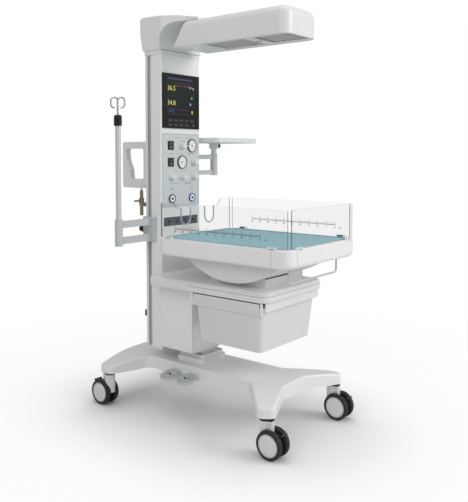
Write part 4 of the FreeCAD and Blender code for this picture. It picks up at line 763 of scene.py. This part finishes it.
def makeRuler(side):
    # a scale printed on a side panel: base line, ticks above it and figures below
    size, data = rulers, rulers[side]
    x, z, wide = data["x"], data["z"], size["line"]
    step = (data["last"] - data["first"]) / size["marks"]

    def bar(y0, y1, z0, z1):
        outline = [(y0, z0), (y1, z0), (y1, z1), (y0, z1)]
        return lofted([[at(x + shift, y, height) for y, height in outline] for shift in (0.0, size["proud"])])

    def figure(word, y):
        return letters(word, size["figures"] / 1000, at(x, y, z - size["figureDrop"]), "-x", thick=0.0002)

    ticks = size["marks"] * size["parts"]
    bars = [bar(data["first"], data["last"], z, z + wide)]
    figures = []
    for k in range(ticks + 1):
        y = data["first"] + step * k / size["parts"]
        numbered = k % size["parts"] == 0
        tall, half = size["longTick"] if numbered else size["shortTick"]
        bars.append(bar(y - half, y + half, z, z + tall))
        if numbered:
            figures.append(figure(str(ticks - k), y))
    figures.append(figure("cm", data["last"] + step * 0.6))
    body = side + "_panel"
    addPiece(side + "Ruler", join(*bars), "rulerPrint", body, 0)
    addPiece(side + "RulerFigures", join(*figures), "rulerPrint", body, 0)


makeRuler("near")
makeRuler("far")
print("rulers done")

# the screen and what it shows: places are shares of the glass from its upper left corner, sizes are in mm
screen = {
    "half": 108.0,
    "low": 1462.0,
    "high": 1652.0,
    "face": 135.5,
    "border": 0.6,
    "patches": ((0.46, 0.045, 176, 9, "screenPanel"), (0.17, 0.50, 56, 1.0, "screenPanel"),
                (0.53, 0.16, 128, 12, "screenWine"), (0.56, 0.855, 84, 7, "screenBrown"),
                (0.16, 0.88, 44, 20, "screenNavy"), (0.20, 0.86, 18, 9, "screenBlue"),
                (0.10, 0.91, 10, 6, "screenBlue")),
    "icons": ((0.80, 0.24, 12, 9, "screenWhite"), (0.90, 0.26, 8, 12, "screenWhite"),
              (0.93, 0.36, 5, 8, "screenPanel"), (0.85, 0.52, 10, 13, "screenGreen"),
              (0.80, 0.69, 12, 11, "screenCyan"), (0.86, 0.90, 9, 14, "screenYellow"),
              (0.72, 0.20, 7, 5, "screenRed")),
    "dashes": 22,
    "softKeys": 9,
    "readings": (("36.5", 0.30), ("34.8", 0.68)),
    "readingAcross": 0.155,
    "readingTall": 0.034,
}
keypad = {
    "face": 135.0,
    "left": -84,
    "pitch": 40,
    "rows": ((1436, 5), (1414, 4)),  # height and number of keys
    "key": (30, 14, 2.5),  # wide, tall and corner radius
    "round": (88, 1414, 22),  # across, height and diameter of the round key
}


def overlay(name, rows, normal="-y"):
    # thin plates (across, out, height, wide, tall, corner radius, finish) on a face, joined by finish
    groups = {}
    for x, y, z, wide, tall, radius, key in rows:
        part = tile(wide / 1000, tall / 1000, radius / 1000, 0.00012, 0.00004, at(x, y, z), normal, 3, 2)
        groups.setdefault(key, []).append(part)
    for key, parts in groups.items():
        addPiece("%s_%s" % (name, key), join(*parts), key, "carriage", 0)


def makeScreen():
    size = screen
    wide, tall = 2 * size["half"], size["high"] - size["low"]
    middle = (size["low"] + size["high"]) / 2
    glass = tile((wide - size["border"]) / 1000, (tall - size["border"]) / 1000, 0.001, 0.0003, 0.0001,
                 at(0, size["face"], middle))
    addPiece("screenGlass", glass, "screenBlack", "carriage", 0)
    face = size["face"] - 0.3

    def spot(u, v, w, h, key):
        return (size["half"] * (2 * u - 1), face, size["high"] - tall * v, w, h, 0.4, key)

    rows = [spot(*patch) for patch in size["patches"]]
    # trend lines: short dashes whose height follows a slow sine
    for k in range(size["dashes"]):
        u = 0.29 + 0.022 * k
        if k % 3:
            rows.append(spot(u, 0.225 + 0.012 * math.sin(k * 1.3), 3.4, 1.5, "screenWhite"))
        rows.append(spot(u, 0.40 + 0.02 * math.sin(k * 0.9), 3.8, 1.0, "screenGreenDim"))
        rows.append(spot(u, 0.60 + 0.03 * math.sin(k * 1.7), 3.8, 1.0, "screenCyanDim"))
    rows += [spot(*icon) for icon in size["icons"]]
    rows += [spot(0.09 + 0.1 * k, 0.975, 9, 4, "screenPanel") for k in range(size["softKeys"])]
    overlay("screen", rows)
    # the two large temperatures
    for text, v in size["readings"]:
        x = size["half"] * (2 * size["readingAcross"] - 1)
        figures = letters(text, size["readingTall"], at(x, face - 0.2, size["high"] - tall * v))
        addPiece("reading_" + text[:2], figures, "screenYellow", "carriage", 0)


def makeKeys():
    # membrane keys under the screen: thin raised plates in two rows, and a round one at the end of the second
    size = keypad
    face = size["face"]
    rows = []
    for z, count in size["rows"]:
        rows += [(size["left"] + size["pitch"] * k, face, z, *size["key"], "bezelKey") for k in range(count)]
    x, z, wide = size["round"]
    rows.append((x, face, z, wide, wide, wide / 2, "bezelKey"))
    overlay("keys", rows)
    overlay("keyMarks", [(row[0], face - 0.15, row[2], row[3] * 0.35, 1.2, 0.3, "printGrey") for row in rows])


makeScreen()
makeKeys()
print("display done")

plate = {
    "face": 139.0,
    "knobFoot": 138.7,
    "knobLong": 23.0,
    "skirt": 4.0,
    "flutes": 14,
    "fluteDeep": 0.07,  # share of the grip's radius
    "dials": ((77, 1310, -70), (3, 1226, -100)),  # across, height, degrees its needle leans
    "dialRadius": 34,
    "dialFloor": 134.5,
    "rim": 4.0,
    "ticks": 11,  # numbered and half marks of a dial
    "parts": 5,  # small ticks between them
    "sweep": 270.0,  # degrees covered by a dial's scale
    "warning": 95,  # degrees where the red part starts
    "outlets": (-71, 77),
    "outletHeight": 1042,
    "outletRadius": 22,
    "outletHole": 0.0075,
    "left": -130,
    "right": 130,
    "low": 1006,
    "high": 1366,
}
switches = {
    "across": -78,
    "face": 135.0,
    "heights": {"power_switch": 1310, "suction_switch": 1226},
    "outer": (43, 45, 3),  # wide, tall and corner radius of the frame
    "inner": (36.2, 38.2, 1.2),
}
sockets = {
    "count": 4,
    "pitch": 60,
    "height": 926.5,
    "collarFace": 144.2,
    "pinFace": 150,
    "pin": (2.5, 2.2),  # across and up from the middle
}
knobs = {
    "oxygen_knob": (8.0, 1310.0, 17.0, 35),  # across, height, grip radius, degrees its pointer leans
    "suction_knob": (95.0, 1226.0, 17.0, -60),
    "flow_knob_left": (-69.0, 1150.0, 15.0, 20),
    "flow_knob_middle": (11.0, 1150.0, 15.0, -35),
    "flow_knob_right": (95.0, 1150.0, 15.0, 50),
}


def printed(outline, x, y, z, thick=0.12):
    # a thin raised figure given in mm as (across, up), facing the front
    outline = np.asarray(outline, float)
    rings = [np.column_stack([outline[:, 0] + x, np.full(len(outline), y - depth), outline[:, 1] + z])
             for depth in (0.0, thick)]
    return lofted([[at(*point) for point in ring] for ring in rings])


def spoke(x, y, z, degrees, inner, outer, wide, tip=None):
    # a bar that points outwards from x, z; degrees run clockwise from upright
    turn = math.radians(degrees)
    out, across = np.array([math.sin(turn), math.cos(turn)]), np.array([math.cos(turn), -math.sin(turn)])
    tip = wide if tip is None else tip
    return printed([out * inner - across * wide / 2, out * inner + across * wide / 2,
                    out * outer + across * tip / 2, out * outer - across * tip / 2], x, y, z)


def arc(x, y, z, start, end, inner, outer, steps=28):
    # part of a flat ring, degrees clockwise from upright
    turn = np.radians(np.linspace(start, end, steps))
    ray = np.column_stack([np.sin(turn), np.cos(turn)])
    return printed(np.vstack([ray * inner, ray[::-1] * outer]), x, y, z)


def makeKnobs():
    size = plate
    for name, (x, z, radius, lean) in knobs.items():
        angle = np.linspace(0, 2 * np.pi, 112, endpoint=False)
        flute = size["fluteDeep"] * np.clip(np.cos(angle * size["flutes"]), 0, 1)
        rings = []
        skirt, top = size["skirt"], size["knobLong"]
        # (radius, height, share of the flutes) from the shaft to the crowned end
        profile = [(4.0, -3.7, 0), (4.0, 0, 0), (radius + 1.6, 0, 0), (radius + 2, 0.5, 0),
                   (radius + 2, skirt - 1, 0), (radius + 1.2, skirt, 0), (radius * 0.97, skirt + 1, 0),
                   (radius * 0.95, skirt + 3, 1), (radius * 0.88, top - 2.4, 1),
                   (radius * 0.86, top - 1.2, 0.6), (radius * 0.81, top - 0.3, 0), (radius * 0.74, top, 0),
                   (0.4, top, 0)]
        for r, height, share in profile:
            reach = r * (1 - flute * share)
            rings.append([at(x + a, size["knobFoot"] - height, z + b)
                          for a, b in zip(reach * np.sin(angle), reach * np.cos(angle))])
        addPiece(name + "_grip", lofted(rings), "knobWhite", name, 40, [name])
        front = size["knobFoot"] - top
        addPiece(name + "_pointer", spoke(x, front, z, lean, 1.5, radius * 0.72, 1.8), "printBlack", name, 0)


def makeScales():
    # printed rings of marks round the knobs, short lines of print, and a thin line inside the plate's edge
    face = plate["face"]

    def line(x, z, half, rise):
        return printed([(-half, -rise), (half, -rise), (half, rise), (-half, rise)], x, face, z)

    def strip(x, z, wide, tall):
        return printed([(0, 0), (wide, 0), (wide, tall), (0, tall)], x, face, z)

    grey = []
    for x, z, radius, lean in knobs.values():
        grey += [spoke(x, face, z, -120 + 30 * k, radius + 4, radius + 7, 0.9) for k in range(9)]
    grey += [line(x, z, 22, 1) for x, z in ((-20, 1349), (60, 1349), (77, 1268))]
    grey += [line(-106 + 19 * k, 1268, 5, 1.4) for k in range(11) if k not in (3, 7)]
    grey.append(line(-48, 1118, 30, 0.9))
    grey += [line(x, 1092, 9, 2.5) for x in plate["outlets"]]
    left, right, low, high = (plate[side] for side in ("left", "right", "low", "high"))
    grey += [strip(left, z, right - left, 0.7) for z in (low, high)]
    grey += [strip(x, low, 0.7, high - low) for x in (left, right - 0.7)]
    addPiece("plateScales", join(*grey), "printGrey", "carriage", 0)
    dark = [arc(8, face, 1310, 4, 58, 22, 24.5), line(47, 1117, 27, 1)]
    addPiece("plateMarks", join(*dark), "printBlack", "carriage", 0)


def makeDials():
    size = plate
    floor, sweep, warning = size["dialFloor"], size["sweep"], size["warning"]
    start, top = -sweep / 2, floor - 0.3
    steps = size["parts"] * (size["ticks"] - 1)
    white, dark, red, blue = [], [], [], []
    for x, z, lean in size["dials"]:
        inner = size["dialRadius"] - size["rim"] - 0.1
        white.append(turned([(0, 0), (inner / 1000, 0), (inner / 1000, -0.0003), (0, -0.0003)],
                            at(x, floor, z), "y", 64))
        for k in range(steps + 1):
            long, wide = (5.0, 0.9) if k % size["parts"] == 0 else (2.6, 0.4)
            dark.append(spoke(x, top, z, start + sweep * k / steps, inner - 3 - long, inner - 3, wide))
        for k in range(0, size["ticks"], 2):
            turn = math.radians(start + sweep * k / (size["ticks"] - 1))
            reach = inner - 13
            dark.append(letters(str(k // 2), 0.0052, at(x + reach * math.sin(turn), top - 0.1,
                                                        z + reach * math.cos(turn)), thick=0.0002))
        red.append(arc(x, top, z, warning, sweep / 2, inner - 2.6, inner - 1))
        dark.append(arc(x, top, z, start, warning, inner - 2.0, inner - 1.4, 60))
        dark.append(letters("bar", 0.0045, at(x, top - 0.1, z - 13), thick=0.0002))
        needle = join(spoke(x, top - 0.5, z, lean, -7, inner - 7, 2.0, 0.5),
                      turned([(0, 0), (0.0028, 0), (0.0028, -0.0009), (0, -0.0009)], at(x, top, z), "y", 24))
        addPiece("needle_%d" % z, needle, "printBlack", "carriage", 0)
    # outlets: white rings about a dark quick-connect socket
    holes, hole, z = [], size["outletHole"], size["outletHeight"]
    for x, group in zip(size["outlets"], (dark, blue)):
        inner = size["outletRadius"] - size["rim"] - 0.1
        white.append(turned([(hole, 0), (inner / 1000, 0), (inner / 1000, -0.0004), (hole, -0.0004)],
                            at(x, floor, z), "y", 48, True))
        holes.append(turned([(0, 0), (hole, 0), (hole, -0.0001), (0, -0.0001)], at(x, floor, z), "y", 32))
        group.append(turned([((inner - 0.2) / 1000, 0), (0.0222, 0), (0.0222, -0.0056), (0.0216, -0.0064),
                             ((inner + 0.6) / 1000, -0.0064), ((inner - 0.2) / 1000, -0.0058)],
                            at(x, size["face"], z), "y", 64, True))
        dark.append(spoke(x, floor - 0.4, z, 0, 10, 15.5, 1.2))
    addPiece("dialFaces", join(*white), "dialWhite", "carriage", 30)
    addPiece("dialMarks", join(*dark), "printBlack", "carriage", 30)
    addPiece("dialWarning", join(*red), "dialRed", "carriage", 0)
    addPiece("outletRing", join(*blue), "dialBlue", "carriage", 30)
    addPiece("outletHoles", join(*holes), "socketDark", "carriage", 30)


def makeSwitchFrames():
    # a raised frame round each rocker, and its on and off marks
    size = switches
    x, face = size["across"], size["face"]
    outer, inner = (roundedOutline(*size[edge], 4) for edge in ("outer", "inner"))
    frames = []
    for name, z in size["heights"].items():
        rings = []
        for outline, height in ((inner, 0), (outer, 0), (outer, 1.0), (outer * 0.985, 1.4), (inner, 1.4)):
            rings.append([at(x + a, plate["face"] - height, z + b) for a, b in outline])
        frames.append(ringed(rings))
        mark = join(printed([(-0.6, -3), (0.6, -3), (0.6, 3), (-0.6, 3)], x, face, z + 9),
                    arc(x, face, z - 9, 0, 360, 2.2, 3.3))
        addPiece(name + "_marks", mark, "dialWhite", name, 0)
    addPiece("switchFrames", join(*frames), "blackPolyamide", "carriage", 30)


def makeSockets():
    # probe sockets: a collar and four pins in each dark hole of the band
    size = sockets
    collars, pins = [], []
    across, up = size["pin"]
    for k in range(size["count"]):
        x, z = size["pitch"] * (k - (size["count"] - 1) / 2), size["height"]
        ring = [(0.0072, 0.0), (0.0089, 0.0), (0.0089, 0.0056), (0.0072, 0.0056)]
        collars.append(turned(ring, at(x, size["collarFace"], z), "y", 40, True))
        for a, b in ((-across, up), (across, up), (-across, -up), (across, -up)):
            pins.append(turned([(0, 0), (0.0007, 0), (0.0007, -0.003), (0, -0.003)],
                               at(x + a, size["pinFace"], z + b), "y", 8))
    addPiece("socketCollars", join(*collars), "socketDark", "carriage", 30)
    addPiece("socketPins", join(*pins), "turnedBrass", "carriage", 0)


makeKnobs()
makeScales()
makeDials()
makeSwitchFrames()
makeSockets()
print("control plate done")

seams = {
    "tall": 1.6,
    "proud": 0.5,
    "collar": (-146, 146, 141, 257, 1779.2),  # from and to across, from and to along, height
    "shelf": (-235, 235, -563, -75, 655.0),
    # a black box of painted shadow in the gap between rocker and cradle: from and to across, along and height
    "tiltGapShadow": (-150, 20, -503.6, -500, 716, 721.5),
    "cornerTop": 867.0,
    "cornerBend": 813.0,
    "cornerRound": 20.0,
    "cornerWire": 0.0007,
    "pivotTop": 877.5,
}
pedals = {
    "middle": {"raise_pedal": 47.0, "lower_pedal": -62.0},
    "pivot": (-141.0, 197.0),  # across and height
    "slope": 10.0,
    "top": 6.5,  # upper face over the line through the pivot
    "pad": (24.0, 50.0, 33.0),  # where it starts, where its nose starts, half its width
    "arrow": ((62, 0), (44, -17), (37, -17), (52, 0), (37, 17), (44, 17)),
}
drawer = {
    "lip": (-226.0, -222.5, -522.0, -146.0, 586.0, 622.0),
    "ends": ((-541.0, -528.0), (-140.0, -127.0)),
    "endTop": 626.0,
    "screws": (-165.0, -60.0, 60.0, 165.0),
    "screwHeight": 607.0,
    "face": -541.2,
}
notches = {
    "across": 88.0,
    "along": 29.0,
    "radius": 34.0,
    "bend": 954.0,  # height where the round bottom starts
    "top": 1002.0,
    "trim": 0.0034,
}


def boxShape(x0, x1, y0, y1, z0, z1):
    # a plain box in warmer millimetres
    return lofted([[at(x, y, z) for x, y in ((x0, y0), (x1, y0), (x1, y1), (x0, y1))] for z in (z0, z1)])


def band(x0, x1, y0, y1, z, tall, proud, radius):
    # a thin strip round a rectangle with rounded corners
    middle = at((x0 + x1) / 2, (y0 + y1) / 2, 0)
    rings = []
    for grow, height in ((-0.3, z), (proud, z), (proud, z + tall), (-0.3, z + tall)):
        outline = roundedOutline((x1 - x0 + 2 * grow) / 1000, (y1 - y0 + 2 * grow) / 1000,
                                 (radius + grow) / 1000)
        rings.append(np.column_stack([outline + middle[:2], np.full(len(outline), height / 1000)]))
    return ringed(rings)


def makePedalFaces():
    # a raised pad with an arrow on each pedal, laid on its sloping plate
    size = pedals
    slope, top = math.radians(size["slope"]), size["top"]
    along, up = np.array([-math.cos(slope), -math.sin(slope)]), np.array([-math.sin(slope), math.cos(slope)])
    start, bend, half = size["pad"]
    turn = np.linspace(-math.pi / 2, math.pi / 2, 24)
    nose = [(bend + half * math.cos(t), half * math.sin(t)) for t in turn]
    outline = np.array([(start, -half)] + nose + [(start, half)])
    away = outline - outline.mean(0)
    reach = np.linalg.norm(away, axis=1, keepdims=True)

    def laid(points, y, rise):
        # (along the pedal from its pivot, across) in mm, lifted off the plate by rise
        rows = [np.array(size["pivot"]) + along * a + up * rise for a, b in points]
        return [at(x, y + b, z) for (x, z), (a, b) in zip(rows, points)]

    def layered(y, layers):
        # the pad's outline drawn in by some mm at each height
        return lofted([laid(outline - away * inset / reach, y, top + rise) for inset, rise in layers])

    for name, y in size["middle"].items():
        pad = layered(y, ((0, -0.3), (0, 1.4), (1, 2.0), (3, 2.0), (4, 1.2)))
        addPiece(name + "_pad", pad, "pedalCoverShaded", name, 30)
        # a dark ring round the pad paints the shade in the groove about it
        groove = layered(y, ((-1.6, -0.2), (-1.6, 0.12), (0.2, 0.12)))
        addPiece(name + "_groove", groove, "seamDark", name, 0)
        arrow = [(100 - a, b) if name == "raise_pedal" else (a, b) for a, b in size["arrow"]]
        glyph = lofted([laid(arrow, y, top + rise) for rise in (1.1, 1.7)])
        addPiece(name + "_arrow", glyph, "printBlack", name, 0)


def makeSeams():
    # joints between mouldings, drawn as dark strips of painted shadow: under the collar, round the shelf, and
    # along the top of the cradle's foot side
    size = seams
    addPiece("collarSeam", band(*size["collar"], size["tall"], size["proud"], 12), "seamDark", "carriage", 0)
    addPiece("shelfSeam", band(*size["shelf"], 1.2, 0.25, 42), "seamDark", "carriage", 0)
    # the tilt slot is a black box that paints the shadow in the gap between rocker and cradle
    addPiece("tiltGapShadow", boxShape(*size["tiltGapShadow"]), "printBlack", "carriage", 0)


def makeCornerSeams():
    # the corner cap of the bed: a fine seam each side of the foot corner, with its black pivot above
    size = seams
    top, bend, r = size["cornerTop"], size["cornerBend"], size["cornerRound"]
    path = [(0.0, top), (0.0, (top + bend) / 2), (0.0, bend)]
    path += [(r - r * math.cos(a), bend - r * math.sin(a)) for a in np.linspace(0.2, 1.4, 7)]
    lines, dots = [], []
    for (x, y), (dx, dy) in (((-290, -630), (1, 0)), ((-222, -714), (0, 1))):
        lines.append(swept([at(x + dx * d, y + dy * d, z) for d, z in path], size["cornerWire"], 6))
        dots.append(turned([(0, -0.0036), (0.0036, -0.0036), (0.0036, 0.0), (0.002, 0.0016), (0, 0.0018)],
                           at(x + dx * 5, y + dy * 5, size["pivotTop"]), "z", 20))
    addPiece("cornerSeams", join(*lines), "printGrey", "bed", 0)
    addPiece("cornerPivots", join(*dots), "printBlack", "bed", 30)


def makeDrawerFront():
    # the upright lip of the drawer's near side, which closes it up to the shelf, the ends of its runners and
    # the heads of their screws
    x0, x1, y0, y1, z0, z1 = drawer["lip"]
    addPiece("drawerLip", boxShape(x0, x1, y0, y1, z0, z1), "drawerAbs", "drawer", 0)
    ends = [boxShape(x0, x1, a, b, z0, drawer["endTop"]) for a, b in drawer["ends"]]
    addPiece("runnerEnds", join(*ends), "housingCoat", "carriage", 0)
    head = [(0, 0), (0.0032, 0), (0.0030, -0.0008), (0.0014, -0.0012), (0, -0.0012)]
    heads = [turned(head, at(x, drawer["face"], drawer["screwHeight"]), "y", 20) for x in drawer["screws"]]
    addPiece("runnerScrews", join(*heads), "screwSteel", "carriage", 30)


def makeNotchTrim():
    # soft edging round the tube notches of the head panel
    size = notches
    r = size["radius"]
    trims = []
    for side in (-1, 1):
        x = size["across"] * side
        path = [(x - r * math.cos(t), size["bend"] - r * math.sin(t)) for t in np.linspace(0, math.pi, 25)]
        path = [(x - r, size["top"])] + path + [(x + r, size["top"])]
        trims.append(swept([at(x, size["along"], z) for x, z in path], size["trim"], 12))
    addPiece("notchTrim", join(*trims), "trimGrey", "bed", 60)


makePedalFaces()
makeSeams()
makeDrawerFront()
makeNotchTrim()
makeCornerSeams()
print("details done")

print("pieces ready")
